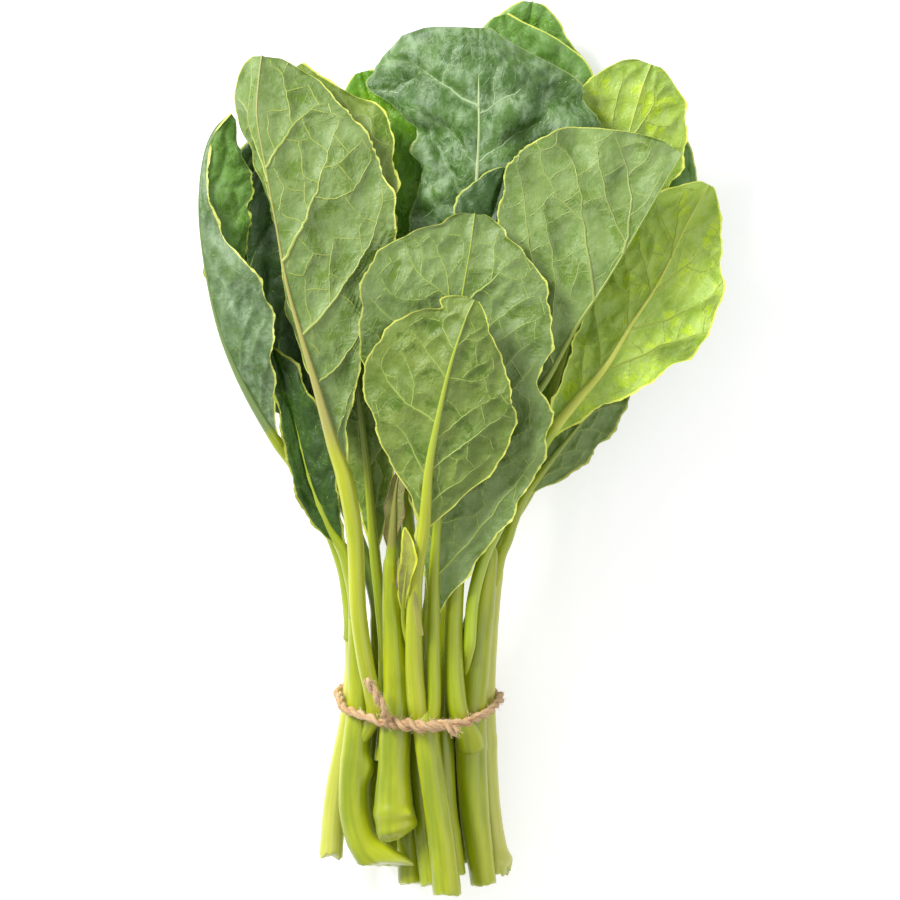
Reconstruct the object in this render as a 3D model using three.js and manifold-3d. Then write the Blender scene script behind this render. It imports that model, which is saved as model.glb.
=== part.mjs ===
// A bunch of Chinese broccoli (gai lan), tied with straw twine and lying down.
// Millimetres, +Z up, +Y from the cut ends towards the leaf tips, +X to the right seen from above.
import * as THREE from 'three';
import { mergeVertices } from 'three/addons/utils/BufferGeometryUtils.js';
import Module from 'manifold-3d';

const wasm = await Module();
wasm.setup();

// Driving dimensions.
const bladeThickness = 0.6;    // a fresh leaf blade
const twineRadius = 1.8;       // two straw strands twisted together
const joinTolerance = 0.02;    // slivers narrower than this are cleaned away after a join
const twineGap = 0.78;         // air between the twine and what it holds
const tieY = -94.0;            // where the ring of twine crosses the middle of the bundle
const tieZ = 22.5;             // height of the middle of the ring
const tieSlope = 0.42;         // the ring leans: its top lies this much nearer the cut ends, per mm
const bladeCells = { across: 6, along: 9 };
const youngCells = { across: 4, along: 4 };
const stalkSides = 8;
const petioleSides = 6;

// ---------------------------------------------------------------- helpers

// A smooth value along an evenly spaced list (Catmull-Rom, clamped at both ends).
function along(list, t) {
  const last = list.length - 1;
  const place = Math.min(Math.max(t, 0), 1) * last;
  const i = Math.min(Math.floor(place), last - 1);
  const f = place - i;
  const [a, b] = [list[i], list[i + 1]];
  const before = list[Math.max(i - 1, 0)];
  const after = list[Math.min(i + 2, last)];
  const slopeA = (b - before) / 2;
  const slopeB = (after - a) / 2;
  const f2 = f * f;
  const f3 = f2 * f;
  const blend = 3 * f2 - 2 * f3;
  return (1 - blend) * a + blend * b + (f3 - 2 * f2 + f) * slopeA + (f3 - f2) * slopeB;
}

// A plain number stays as it is; a list is read smoothly along.
function valueAt(value, t) {
  return Array.isArray(value) ? along(value, t) : value;
}

function curveThrough(points) {
  return new THREE.CatmullRomCurve3(points.map((p) => new THREE.Vector3(...p)), false, 'catmullrom', 0.5);
}

// Place, direction, right-hand side and up of a curve at a share t of its length.
function frameAt(curve, t) {
  const at = curve.getPointAt(t);
  const ahead = curve.getTangentAt(t);
  const side = new THREE.Vector3().crossVectors(ahead, new THREE.Vector3(0, 0, 1)).normalize();
  const up = new THREE.Vector3().crossVectors(side, ahead);
  return { at, ahead, side, up };
}

// Share of a curve's length at which it reaches its point number `index`.
function shareAtPoint(curve, index) {
  const stepsPerSpan = 20;
  const lengths = curve.getLengths(stepsPerSpan * (curve.points.length - 1));
  return lengths[stepsPerSpan * index] / lengths[lengths.length - 1];
}

// Moves every vertex of a stock geometry to where `place(x, y, z)` says, and closes its seams.
function reshape(geometry, place) {
  const position = geometry.attributes.position;
  for (let i = 0; i < position.count; i += 1) {
    const to = place(position.getX(i), position.getY(i), position.getZ(i));
    position.setXYZ(i, to.x, to.y, to.z);
  }
  geometry.deleteAttribute('normal');
  geometry.deleteAttribute('uv');
  return mergeVertices(geometry, 1e-4);
}

function toSolid(geometry) {
  return new wasm.Manifold(new wasm.Mesh({
    numProp: 3,
    vertProperties: new Float32Array(geometry.attributes.position.array),
    triVerts: new Uint32Array(geometry.index.array),
  }));
}

function toGeometry(solid) {
  const mesh = solid.simplify(joinTolerance).getMesh();
  const geometry = new THREE.BufferGeometry();
  geometry.setAttribute('position', new THREE.BufferAttribute(mesh.vertProperties, 3));
  geometry.setIndex(new THREE.BufferAttribute(mesh.triVerts, 1));
  geometry.computeVertexNormals();
  return geometry;
}

const plainCut = { slant: 0, flare: [1, 1], reach: 1 };

// A closed tube along a curve from share `from` to share `to`, its radius read from a list.
// A flat side faces straight down, so that a level stretch rests on a real face.
function taperedTube(curve, radii, sides, rings, from = 0, to = 1, cut = plainCut) {
  const turn = Math.PI / sides;
  const stock = new THREE.CylinderGeometry(1, 1, 1, sides, rings);
  return reshape(stock, (x, y, z) => {
    const share = from + (to - from) * (y + 0.5);
    const { at, ahead, side, up } = frameAt(curve, share);
    const r = along(radii, y + 0.5);
    const near = Math.max(0, 1 - share / cut.reach) ** 2;
    const s = (x * Math.cos(turn) - z * Math.sin(turn)) * r * (1 + (cut.flare[0] - 1) * near);
    const n = (x * Math.sin(turn) + z * Math.cos(turn)) * r * (1 + (cut.flare[1] - 1) * near);
    return at.addScaledVector(side, s).addScaledVector(up, n).addScaledVector(ahead, cut.slant * near * s);
  });
}

// ---------------------------------------------------------------- stalks

// path runs from the cut end to the top node; radii are spread evenly over its length.
// slant leans the cut end back on its right-hand side; flare widens and flattens it.
const stalks = {
  stalk_front: {
    path: [[-4.4, -168.5, 38], [-7, -145, 39.5], [-11, -118, 40.5], [-12.7, -104, 41], [-13, -97.2, 41.5]],
    radii: [5.4, 5.2, 4.9, 4.8, 5.0],
  },
  stalk_centre_left: {
    path: [[-24.7, -148, 34], [-24.7, -139, 34.5], [-24.7, -125, 35], [-24.2, -108, 36.5],
      [-23.5, -92, 38], [-24.5, -72, 42], [-26, -45, 45]],
    radii: [6.3, 6.9, 6.0, 5.9, 5.0, 4.5, 3.9, 2.9],
  },
  stalk_left_toe: {
    path: [[-29.8, -157, 29.2], [-35.6, -150.5, 27], [-38.8, -141, 25.8], [-39.9, -130, 26],
      [-38.7, -110, 27.5], [-37.5, -95, 28], [-38, -70, 30], [-39, -58, 31]],
    radii: [5.6, 5.9, 5.8, 5.2, 4.9, 4.3, 3.4], slant: -0.8, flare: [1.75, 0.55],
  },
  stalk_left_outer: {
    path: [[-48.6, -154, 14], [-46.6, -130, 15], [-41.2, -100, 17], [-40, -80, 20], [-41, -66, 24]],
    radii: [4.5, 4.2, 3.9, 3.5, 3.0],
  },
  stalk_right: {
    path: [[9.4, -164.8, 24.5], [6.2, -140, 27], [4.9, -120, 29], [4.9, -100, 30.5], [6.5, -78, 33],
      [9.2, -55, 36], [12.4, -35, 37]],
    radii: [4.9, 5.5, 5.8, 5.6, 5.5, 4.6, 3.0],
  },
  stalk_right_outer: {
    path: [[14.8, -160, 15], [11.4, -130, 18], [10.2, -100, 21.5], [11, -75, 24.2], [12.6, -55, 27.6],
      [14.4, -42, 30]],
    radii: [4.3, 3.9, 3.9, 3.5, 3.4, 3.2],
  },
  stalk_lower_centre: {
    path: [[-18.2, -164.5, 22], [-19, -140, 21], [-21, -105, 20.5], [-20, -80, 22], [-19, -60, 26]],
    radii: [4.8, 4.8, 4.4, 4.0, 3.3],
  },
  stalk_behind_front: {
    path: [[-10.5, -165, 29], [-13.4, -140, 28.5], [-15.9, -105, 29.5], [-14.2, -80, 31],
      [-11, -58, 34]],
    radii: [4.1, 4.1, 4.1, 3.8, 3.1],
  },
  stalk_centre_right: {
    path: [[-1.5, -161, 28], [-5, -135, 29.5], [-5.8, -105, 29], [-4.6, -80, 31], [-3.4, -55, 34]],
    radii: [4.2, 4.2, 4.0, 3.7, 3.0],
  },
  stalk_inner_left: {
    path: [[-31, -151, 13], [-31, -135, 15.5], [-30, -105, 19.5], [-30, -80, 21], [-31, -60, 24]],
    radii: [4.0, 4.0, 4.1, 3.6, 3.0],
  },
  stalk_slim: {
    path: [[-29.5, -118, 27], [-27.5, -100, 28], [-27.8, -88, 29.5], [-28, -75, 31]],
    radii: [2.6, 2.9, 2.8, 2.5],
  },
  stalk_inner_centre: {
    path: [[-9, -158, 17], [-10, -135, 18.5], [-10.5, -105, 20], [-8, -80, 22], [-4, -60, 25]],
    radii: [4.6, 4.6, 4.5, 4.0, 3.2],
  },
  stalk_inner_right: {
    path: [[5, -156, 16], [1.2, -135, 18], [-0.2, -105, 20.3], [2.6, -80, 22.3], [5.6, -60, 24.8]],
    radii: [4.3, 4.3, 4.2, 3.7, 3.1],
  },
  stalk_bottom_left: {
    path: [[-24.5, -158, 4], [-23.5, -144, 4], [-22.5, -130, 4.5], [-20.5, -105, 8.5], [-20, -84, 8.8],
      [-22, -68, 10], [-23, -55, 12]],
    radii: [4.7, 4.7, 4.5, 3.9, 3.0],
  },
  stalk_bottom_right: {
    path: [[-4, -159, 4], [-4.8, -145, 4], [-5.8, -131, 4.5], [-8.5, -105, 8.5], [-6.5, -84, 8.8],
      [-4, -68, 10], [-2, -55, 12]],
    radii: [4.7, 4.7, 4.5, 3.9, 3.0],
  },
};

const cutReach = 0.14;   // share of a stalk's length over which a shaped cut end fades out

function stalkSolid({ path, radii, slant = 0, flare = [1, 1] }) {
  const rings = 2 * path.length;
  const cutShape = { slant, flare, reach: cutReach };
  return toSolid(taperedTube(curveThrough(path), radii, stalkSides, rings, 0, 1, cutShape));
}

// ---------------------------------------------------------------- leaves

// path runs up the leaf stem and on along the midrib to the tip.
// The blade starts at point number `bladeFrom`.
// left and right are the widths of the two halves, spread evenly from the blade's base to its tip.
// fold turns a half up (+) or down (-) at the midrib, and curl bends it on towards its edge, in degrees.
// ruffle is the height of the edge's waves and how many there are.
// stem is the radius at its foot and at the blade.
const leaves = {
  leaf_front_small: {
    path: [[-15.9, -96.3, 42.9], [-17, -78, 47], [-16.5, -50, 55], [-13.3, -30, 60.5],
      [-11.5, -8, 65.5], [-8.7, 8, 69], [-3.8, 30, 73], [2.3, 49, 74.5], [6, 57, 74]],
    bladeFrom: 3, stem: [3.6, 2.4],
    left: [1.5, 6, 14, 22, 29, 31.5, 27.5, 18.5, 8], right: [1.5, 13, 23, 28, 29, 26, 20.5, 12, 5],
    fold: [-6, -6], curl: [-4, -6], ruffle: [0.8, 3], rounding: 0.94,
  },
  leaf_front_large: {
    path: [[-9.6, -96.3, 42.2], [-9.6, -80, 45], [-9.6, -64, 47.5], [-9.2, -42, 50], [-6.8, -11, 54.5],
      [-4.2, 11, 58], [-1.5, 34, 60.5], [1, 57, 61.5], [4.2, 76, 60.5], [6, 90, 58.5]],
    bladeFrom: 2, stem: [2.7, 2.5],
    left: [1.5, 4, 9, 17, 27, 35, 38, 34, 20], right: [1.5, 14, 26, 35, 39, 35, 35, 29, 18],
    fold: [3, 0], curl: [4, 2], ruffle: [0.8, 3],
  },
  leaf_left_tall: {
    path: [[-32.3, -101, 34.6], [-33, -92, 37], [-35.5, -80, 41], [-38.2, -60, 45], [-39.3, -34, 49.5],
      [-43, -12, 53], [-48, 3, 55.5], [-54, 24, 58], [-60, 44, 59.5], [-65, 62, 60], [-69, 84, 59.5],
      [-73, 106, 58], [-76, 126, 55.5], [-75, 142, 52], [-72, 150, 50]],
    bladeFrom: 5, stem: [3.0, 3.3],
    left: [1.5, 8, 15, 20, 23, 24, 24, 22, 17], right: [1.5, 8, 19, 32, 43, 45.5, 41, 32, 30],
    fold: [[-80, -84, -86, -86, -85, -72, -42], -4], curl: [-6, -8], ruffle: [0.8, 3], rounding: 0.9,
  },
  leaf_left_rolled: {
    path: [[-41.2, -64.5, 24.3], [-44, -45, 24], [-52, -24, 25], [-61, -8, 27.5], [-69, 3, 31],
      [-80, 21, 35], [-88, 38, 38], [-93, 54, 40], [-97, 75, 41], [-98.5, 93, 41], [-97, 110, 37],
      [-93, 121, 34], [-86, 128, 32]],
    bladeFrom: 4, stem: [2.4, 2.2],
    left: [1.5, 7, 11, 14, 15, 15, 15, 15, 12], right: [1.5, 10, 18, 24, 20, 10, 5, 2, 1.5],
    fold: [-166, 48], curl: [-4, -45], ruffle: [0.7, 4],
  },
  leaf_left_inner: {
    path: [[-31.2, -58.5, 24.2], [-36, -40, 24], [-43, -22, 23], [-49, -8, 22], [-60, 15, 21.5],
      [-70, 36, 21.5], [-78, 62, 22], [-81, 80, 22.5], [-80, 97, 22.5], [-76, 112, 21.5],
      [-73, 119, 21]],
    bladeFrom: 3, stem: [2.6, 2.3],
    left: [1.5, 6, 10, 13, 15, 16, 15, 12, 8], right: [1.5, 7, 13, 17, 18, 17, 15, 12, 8],
    fold: [8, 6], curl: [5, 5], ruffle: [0.8, 3],
  },
  leaf_left_low: {
    path: [[-39.2, -56.5, 31.3], [-41, -48, 31.5], [-44, -38, 32], [-50, -28, 33], [-57, -10, 34],
      [-62, 10, 35], [-66.5, 25, 36], [-71, 39, 36]],
    bladeFrom: 2, stem: [2.9, 2.4],
    left: [1.5, 4, 6, 7, 6, 6, 5, 4, 3], right: [1.5, 6, 10, 12, 13, 12, 10, 8, 5],
    fold: [10, 22], curl: [8, 10], ruffle: [0.6, 4],
  },
  leaf_top_left: {
    path: [[-28.2, -73, 31.3], [-30, -56, 33], [-32, -38, 35], [-35, -5, 40], [-40, 38, 44.5],
      [-43, 72, 47.5], [-46, 103, 48], [-52.5, 130, 45.5], [-60.5, 147, 42.5]],
    bladeFrom: 2, stem: [2.3, 2.1],
    left: [1.5, 6, 9, 11, 13, 15, 17, 15, 9],
    right: [1.5, 6, 9, 11.5, 13, 14, 15, 16, 17, 18.5, 20, 21, 22, 24, 21, 9, 5],
    fold: [-3, -4], curl: [-4, -6], ruffle: [0.8, 3],
  },
  leaf_bright_top: {
    path: [[-18.8, -58.3, 26.4], [-19, -34, 27.5], [-22, 8, 28.5], [-24, 45, 29], [-26, 80, 28.5],
      [-29, 110, 26], [-33, 130, 23], [-37, 144, 21]],
    bladeFrom: 2, stem: [2.8, 2.3],
    left: [1.5, 7, 12, 16, 19, 21, 21, 18, 12], right: [1.5, 6, 9, 11, 12, 13, 16, 18, 15],
    fold: [2, 2], curl: [3, 3], ruffle: [0.8, 3],
  },
  leaf_back_left: {
    path: [[-23.1, -53.4, 12.2], [-22.5, -30, 12.5], [-22, -5, 12], [-22, 30, 11.6], [-22.5, 65, 11.6],
      [-22, 95, 12], [-21, 118, 13], [-20, 133, 14.5]],
    bladeFrom: 2, stem: [2.6, 2.3],
    left: [1.5, 11, 20, 26, 28, 27, 23, 18, 12], right: [1.5, 7, 13, 17, 19, 19, 17, 14, 9],
    fold: [-16, 4], curl: [-14, 2], ruffle: [0.7, 3],
  },
  leaf_top_dark: {
    path: [[-1.8, -53.3, 35.3], [0, -40, 36], [3, -20, 37], [4, 0, 38], [4, 20, 39.5], [4, 49, 42],
      [5, 70, 43.5], [6, 87, 45], [7, 105, 46], [7.5, 122, 46], [7.5, 134, 45], [7.5, 147, 43.5],
      [7.5, 160.5, 41]],
    bladeFrom: 4, stem: [2.7, 2.6],
    left: [1.5, 9, 17, 24, 25, 24, 28, 46, 31], right: [1.5, 12, 24, 34, 41, 46, 45, 34, 4],
    fold: [-7, -4], curl: [-30, -8], ruffle: [1.0, 3], rounding: 0.99,
  },
  leaf_top_inner: {
    path: [[-10.6, -56.4, 34.3], [-10, -40, 39], [-8, -15, 43.5], [-4, 10, 47], [0, 35, 49.5], [5, 60, 51],
      [10, 80, 51.5], [15, 96, 51], [18, 107, 50]],
    bladeFrom: 4, stem: [2.5, 2.0],
    left: [1.5, 4, 8, 11, 13, 14, 14, 12, 8], right: [1.5, 4, 7, 9, 10, 10, 9, 8, 6],
    fold: [4, -2], curl: [4, -4], ruffle: [0.6, 3],
  },
  leaf_right_upper: {
    path: [[0.9, -111, 39.4], [-0.6, -97, 39.6], [-1.8, -85, 40.6], [-2, -72, 41.8], [-1.6, -57, 43],
      [-0.2, -42, 44.5], [3.4, -26, 45.8], [12, -7, 47.5], [25, 15, 49.5], [34, 28, 51], [44, 46, 53],
      [54, 61, 54.5], [65, 79, 55], [76, 98, 54], [85, 113, 52]],
    bladeFrom: 7, stem: [3.7, 2.8],
    left: [1.5, 8, 18, 30, 41, 50, 54, 47, 36], right: [1.5, 6, 10, 12, 13, 13, 12, 10, 7],
    fold: [3, -140], curl: [0, -8], ruffle: [0.8, 3],
  },
  leaf_right_outer: {
    path: [[3.9, -74, 41.7], [5.3, -57, 42.7], [9, -42, 43.6], [14, -31, 43], [20.5, -18, 41.5],
      [33, 4, 39.5], [45, 19, 40], [56, 32, 40.5], [65, 47, 40.5], [73, 59, 40], [79, 70, 39],
      [86, 85, 37], [95, 101, 34]],
    bladeFrom: 5, stem: [2.3, 2.4],
    left: [1.5, 7, 13, 17, 20, 21, 20, 17, 12], right: [1.5, 6, 11, 19, 26, 25, 20, 14, 9],
    fold: [-4, -3], curl: [-5, -5], ruffle: [0.8, 3],
  },
  leaf_right_low: {
    path: [[15.2, -40.4, 31.2], [18, -34, 31.6], [20.6, -26.5, 31.6], [25, -17, 31.3], [35, -4, 31],
      [46, 10, 30.5], [57, 25, 29], [64, 36, 27], [67, 42, 26]],
    bladeFrom: 4, stem: [2.5, 2.0],
    left: [1.5, 4, 7, 10, 12, 12, 11, 9, 6], right: [1.5, 4, 6, 8, 9, 9, 8, 7, 5],
    fold: [0, -4], curl: [0, -6], ruffle: [0.6, 3],
  },
  leaf_back_top: {
    path: [[-1.8, -53.4, 12], [0, -35, 11], [3, -15, 9], [8, 20, 4.5], [13, 60, 1.4], [18, 95, 1.2],
      [22, 125, 4], [25, 150, 9], [28, 171, 14]],
    bladeFrom: 2, stem: [2.6, 2.3],
    left: [1.5, 11, 20, 26, 29, 29, 27, 24, 17], right: [1.5, 11, 20, 26, 29, 29, 27, 24, 17],
    fold: [2, 2], curl: [2, 2], ruffle: [0.7, 3],
  },
  leaf_top_centre: {
    path: [[-3.7, -58.3, 25.2], [2, -40, 24.5], [8, -20, 23.5], [11, -5, 23], [15, 30, 22],
      [18, 70, 21.5], [20, 105, 22], [21.5, 135, 23], [20.5, 152, 23.5], [17, 166, 24]],
    bladeFrom: 3, stem: [2.7, 2.2],
    left: [1.5, 7, 12, 16, 18, 20, 23, 27, 20], right: [1.5, 9, 16, 21, 24, 26, 28, 28, 7],
    fold: [2, 0], curl: [2, 0], ruffle: [0.7, 3],
  },
  leaf_top_right: {
    path: [[6.1, -58.4, 25.1], [8.6, -44, 22.6], [12.5, -29, 21.4], [18.5, -14, 22.3], [25, -2, 23],
      [33, 15, 23], [44, 50, 25], [54, 85, 29], [62, 112, 32], [69, 136, 32], [73, 147, 31]],
    bladeFrom: 5, stem: [2.6, 2.2],
    left: [1.5, 5, 9, 12, 15, 19, 23, 24, 22], right: [1.5, 6, 10, 13, 15, 19, 22, 22, 20],
    fold: [0, -3], curl: [0, -4], ruffle: [0.7, 3],
  },
  leaf_back_right: {
    path: [[13, -40.3, 26.4], [19, -29, 21.8], [30, -10, 15.5], [39, 15, 11], [50, 45, 7],
      [62, 72, 6.6], [73, 95, 9], [80, 110, 12], [84, 120, 13]],
    bladeFrom: 3, stem: [1.8, 1.9],
    left: [1.5, 6, 11, 14, 15, 15, 13, 11, 8], right: [1.5, 9, 17, 22, 24, 22, 19, 14, 9],
    fold: [6, -10], curl: [4, -8], ruffle: [0.7, 3],
  },
  young_leaf_dried: {
    path: [[-25.9, -43.4, 45.4], [-25.5, -40, 46], [-25, -28, 48.5], [-24, -16, 50.5], [-22.5, -8, 51.5]],
    bladeFrom: 1, stem: [1.6, 1.2],
    left: [1.2, 3.5, 5, 5.5, 5, 3.5], right: [1.2, 3, 4.2, 4.5, 4, 3],
    fold: [20, 18], curl: [12, 12], ruffle: [0.3, 3], young: true,
  },
  young_leaf_small: {
    path: [[-20.6, -68, 47.6], [-21.2, -60, 52], [-20.6, -51, 58], [-19.4, -40, 61.6],
      [-20.6, -29, 62.5]],
    bladeFrom: 1, stem: [0.9, 0.8],
    left: [1, 2.5, 3.2, 3.4, 3, 2], right: [1, 1.6, 3, 4, 3.4, 2.2],
    fold: [10, 8], curl: [8, 8], ruffle: [0.3, 4], young: true,
  },
};

const tipRounding = 0.82;   // share of the blade after which most outlines round off
const ribShare = 0.4;       // share of the blade along which the midrib stands out from it
const ribTip = 0.9;         // radius at which the midrib sinks into the blade
const tipEnd = 0.995;       // the blade stops just short of the point, where it still has some width

function halfWidth(list, u, rounding = tipRounding) {
  const past = Math.max(0, (u - rounding) / (1 - rounding));
  return along(list, u) * Math.sqrt(Math.max(0, 1 - past * past));
}

// A point of the blade: u runs from base to tip,
// v from the left edge (-1) over the midrib (0) to the right edge (1).
function bladePoint(leaf, curve, start, u, v) {
  const { at, side, up } = frameAt(curve, start + (1 - start) * u);
  const half = v < 0 ? 0 : 1;
  const width = halfWidth(half ? leaf.right : leaf.left, u, leaf.rounding);
  const reach = Math.abs(v);
  const fold = THREE.MathUtils.degToRad(valueAt(leaf.fold[half], u));
  const curl = THREE.MathUtils.degToRad(leaf.curl[half]);
  // Mean cosine and sine of the angle between the midrib and this place: a circular arc.
  const steps = 6;
  let out = 0;
  let rise = 0;
  for (let i = 0; i < steps; i += 1) {
    const angle = fold + curl * reach * ((i + 0.5) / steps);
    out += Math.cos(angle) / steps;
    rise += Math.sin(angle) / steps;
  }
  const sign = half ? 1 : -1;
  const [height, waves] = leaf.ruffle;
  const wave = height * reach * reach * Math.sin(Math.PI * 2 * waves * u + half * 2) * Math.min(1, 6 * u);
  const edgeAngle = fold + curl * reach;
  at.addScaledVector(side, sign * out * reach * width - sign * wave * Math.sin(edgeAngle));
  at.addScaledVector(up, rise * reach * width + wave * Math.cos(edgeAngle));
  return at;
}

function bladeNormal(leaf, curve, start, u, v) {
  const step = 0.02;
  const [u0, u1] = [Math.max(u - step, 0), Math.min(u + step, 1)];
  const [v0, v1] = [Math.max(v - step, -1), Math.min(v + step, 1)];
  const alongU = bladePoint(leaf, curve, start, u1, v).sub(bladePoint(leaf, curve, start, u0, v));
  const acrossV = bladePoint(leaf, curve, start, u, v1).sub(bladePoint(leaf, curve, start, u, v0));
  return acrossV.cross(alongU).normalize();
}

const petioleRings = 8;
const youngRings = 4;

function leafSolid(leaf) {
  const curve = curveThrough(leaf.path);
  const start = shareAtPoint(curve, leaf.bladeFrom);
  const cells = leaf.young ? youngCells : bladeCells;
  const sheet = new THREE.BoxGeometry(2, tipEnd, 1, cells.across, cells.along, 1);
  const blade = reshape(sheet, (x, y, z) => {
    const u = y + tipEnd / 2;
    const place = bladePoint(leaf, curve, start, u, x);
    return place.addScaledVector(bladeNormal(leaf, curve, start, u, x), z * bladeThickness);
  });
  const [foot, base] = leaf.stem;
  const ribEnd = start + ribShare * (1 - start);
  const radii = [foot, (foot + base) / 2, base, ribTip];
  const rings = leaf.young ? youngRings : petioleRings;
  const stem = taperedTube(curve, radii, petioleSides, rings, 0, ribEnd);
  return toSolid(blade).add(toSolid(stem));
}

// ---------------------------------------------------------------- twine

// Where a stalk or leaf stem crosses the leaning plane of the tie, as a circle in x and z.
function circleAtTie(path, radii) {
  const curve = curveThrough(path);
  const steps = 200;
  for (let i = 0; i <= steps; i += 1) {
    const p = curve.getPointAt(i / steps);
    if (p.y >= tieY - tieSlope * (p.z - tieZ)) {
      return i === 0 ? null : { x: p.x, z: p.z, r: along(radii, i / steps) };
    }
  }
  return null;
}

function tiedCircles() {
  const circles = Object.values(stalks).map(({ path, radii }) => circleAtTie(path, radii));
  const stems = [leaves.leaf_left_tall, leaves.leaf_right_upper];
  return [...circles, ...stems.map(({ path, stem }) => circleAtTie(path, stem))].filter(Boolean);
}

// The twine is pulled tight, so it follows the outer hull of everything inside it.
function ringPoints(count) {
  const circles = tiedCircles();
  const clear = twineRadius + twineGap;
  const points = [];
  for (let degree = 0; degree < 360; degree += 1) {
    const angle = THREE.MathUtils.degToRad(degree);
    const [dx, dz] = [Math.cos(angle), Math.sin(angle)];
    const reachOf = (c) => c.x * dx + c.z * dz + c.r;
    const outer = circles.reduce((best, c) => (reachOf(c) > reachOf(best) ? c : best));
    points.push([outer.x + dx * (outer.r + clear), outer.z + dz * (outer.r + clear)]);
  }
  const outline = new THREE.Path(points.map(([x, z]) => new THREE.Vector2(x, z)));
  outline.closePath();
  return outline.getSpacedPoints(count).map(({ x, y: z }) => [x, tieY - tieSlope * (z - tieZ), z]);
}

function twineTube(points, steps, radius) {
  const sides = 6;
  const section = new THREE.Shape();
  for (let i = 0; i < sides; i += 1) {
    const angle = ((i + 0.5) / sides) * Math.PI * 2;
    section[i ? 'lineTo' : 'moveTo'](radius * Math.cos(angle), radius * Math.sin(angle));
  }
  section.closePath();
  const extrudePath = curveThrough(points);
  const tube = new THREE.ExtrudeGeometry(section, { steps, bevelEnabled: false, extrudePath });
  return toSolid(reshape(tube, (x, y, z) => new THREE.Vector3(x, y, z)));
}

const ringPieces = 54;   // straight pieces of the ring
// The lock is where the two ends are twisted together, on top of the bundle.
const lock = { x: -24, length: 13, width: 6.0, height: 4.8, rise: 0.8 };
// The two ends leave the lock. The third number is the height over the top of the ring.
const tail = { path: [[-23, -102.6, 1.4], [-28, -97.5, 3.5], [-34, -88.5, 5.0]], radius: 1.7, pieces: 5 };
const shortEnd = {
  path: [[-19.5, -104.1, 0.9], [-12, -106.5, 2.6], [-5, -107.5, 2.2]], radius: 1.6, pieces: 5,
};

function twineSolid() {
  const ring = ringPoints(ringPieces);
  const top = ring.filter(([, , z]) => z > tieZ);
  const offset = ([x]) => Math.abs(x - lock.x);
  const nearest = top.reduce((best, p) => (offset(p) < offset(best) ? p : best));
  const startIndex = ring.indexOf(nearest);
  const open = Array.from({ length: ringPieces }, (_, i) => ring[(startIndex + i) % ringPieces]);
  const lockBall = reshape(new THREE.SphereGeometry(0.5, 8, 5), (x, y, z) => new THREE.Vector3(
    nearest[0] + lock.length * x,
    nearest[1] - lock.width * z,
    nearest[2] + lock.height * y + lock.rise,
  ));
  const endTube = ({ path, radius, pieces }) => (
    twineTube(path.map(([x, y, rise]) => [x, y, nearest[2] + rise]), pieces, radius)
  );
  return twineTube(open, ringPieces, twineRadius)
    .add(toSolid(lockBall))
    .add(endTube(tail))
    .add(endTube(shortEnd));
}

// ---------------------------------------------------------------- the bunch

function finish(color, roughness) {
  return new THREE.MeshStandardMaterial({ color, roughness, metalness: 0 });
}

const stalkGreen = 0xa4bf45;
const paleLeaf = 0x8fae6a;
const brightLeaf = 0x8fb53a;
const darkLeaf = 0x4f7a4f;
const driedLeaf = 0x8f8f60;
const straw = 0xcda176;
const leafColours = {
  leaf_top_dark: darkLeaf,
  leaf_left_inner: darkLeaf,
  leaf_left_rolled: darkLeaf,
  leaf_bright_top: brightLeaf,
  leaf_right_outer: brightLeaf,
  leaf_top_right: brightLeaf,
  young_leaf_dried: driedLeaf,
};

const bunch = new THREE.Group();

function addPiece(name, solid, material) {
  const mesh = new THREE.Mesh(toGeometry(solid), material);
  mesh.name = name;
  bunch.add(mesh);
}

for (const [name, stalk] of Object.entries(stalks)) {
  addPiece(name, stalkSolid(stalk), finish(stalkGreen, 0.45));
}
for (const [name, leaf] of Object.entries(leaves)) {
  addPiece(name, leafSolid(leaf), finish(leafColours[name] ?? paleLeaf, 0.6));
}
addPiece('twine_wrap', twineSolid(), finish(straw, 0.9));

// The origin sits under the middle of the bunch, on the surface that it lies on.
const box = new THREE.Box3().setFromObject(bunch);
const middle = box.getCenter(new THREE.Vector3());
bunch.position.set(-middle.x, -middle.y, -box.min.z);

export default bunch;
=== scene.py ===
import math
import bpy
import numpy as np
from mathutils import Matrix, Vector
from mathutils.geometry import delaunay_2d_cdt


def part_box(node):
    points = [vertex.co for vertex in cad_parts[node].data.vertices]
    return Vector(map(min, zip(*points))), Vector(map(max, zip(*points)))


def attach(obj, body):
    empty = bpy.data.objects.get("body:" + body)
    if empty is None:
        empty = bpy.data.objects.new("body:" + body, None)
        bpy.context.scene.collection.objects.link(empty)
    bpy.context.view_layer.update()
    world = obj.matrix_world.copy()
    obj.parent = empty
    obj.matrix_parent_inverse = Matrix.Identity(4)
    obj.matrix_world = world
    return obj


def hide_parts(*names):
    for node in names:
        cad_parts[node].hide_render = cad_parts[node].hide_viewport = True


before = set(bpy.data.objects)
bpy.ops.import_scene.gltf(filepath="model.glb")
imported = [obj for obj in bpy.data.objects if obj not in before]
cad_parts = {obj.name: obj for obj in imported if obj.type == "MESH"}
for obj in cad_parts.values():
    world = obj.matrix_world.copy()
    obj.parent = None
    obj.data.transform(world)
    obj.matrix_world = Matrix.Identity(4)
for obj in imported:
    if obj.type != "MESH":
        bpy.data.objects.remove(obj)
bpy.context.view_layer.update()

mm = 0.001
upward = np.array([0.0, 0.0, 1.0])
print("frame loaded with", len(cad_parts), "pieces")


# ---- curves and smooth lists, in millimetres until a mesh is made

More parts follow.
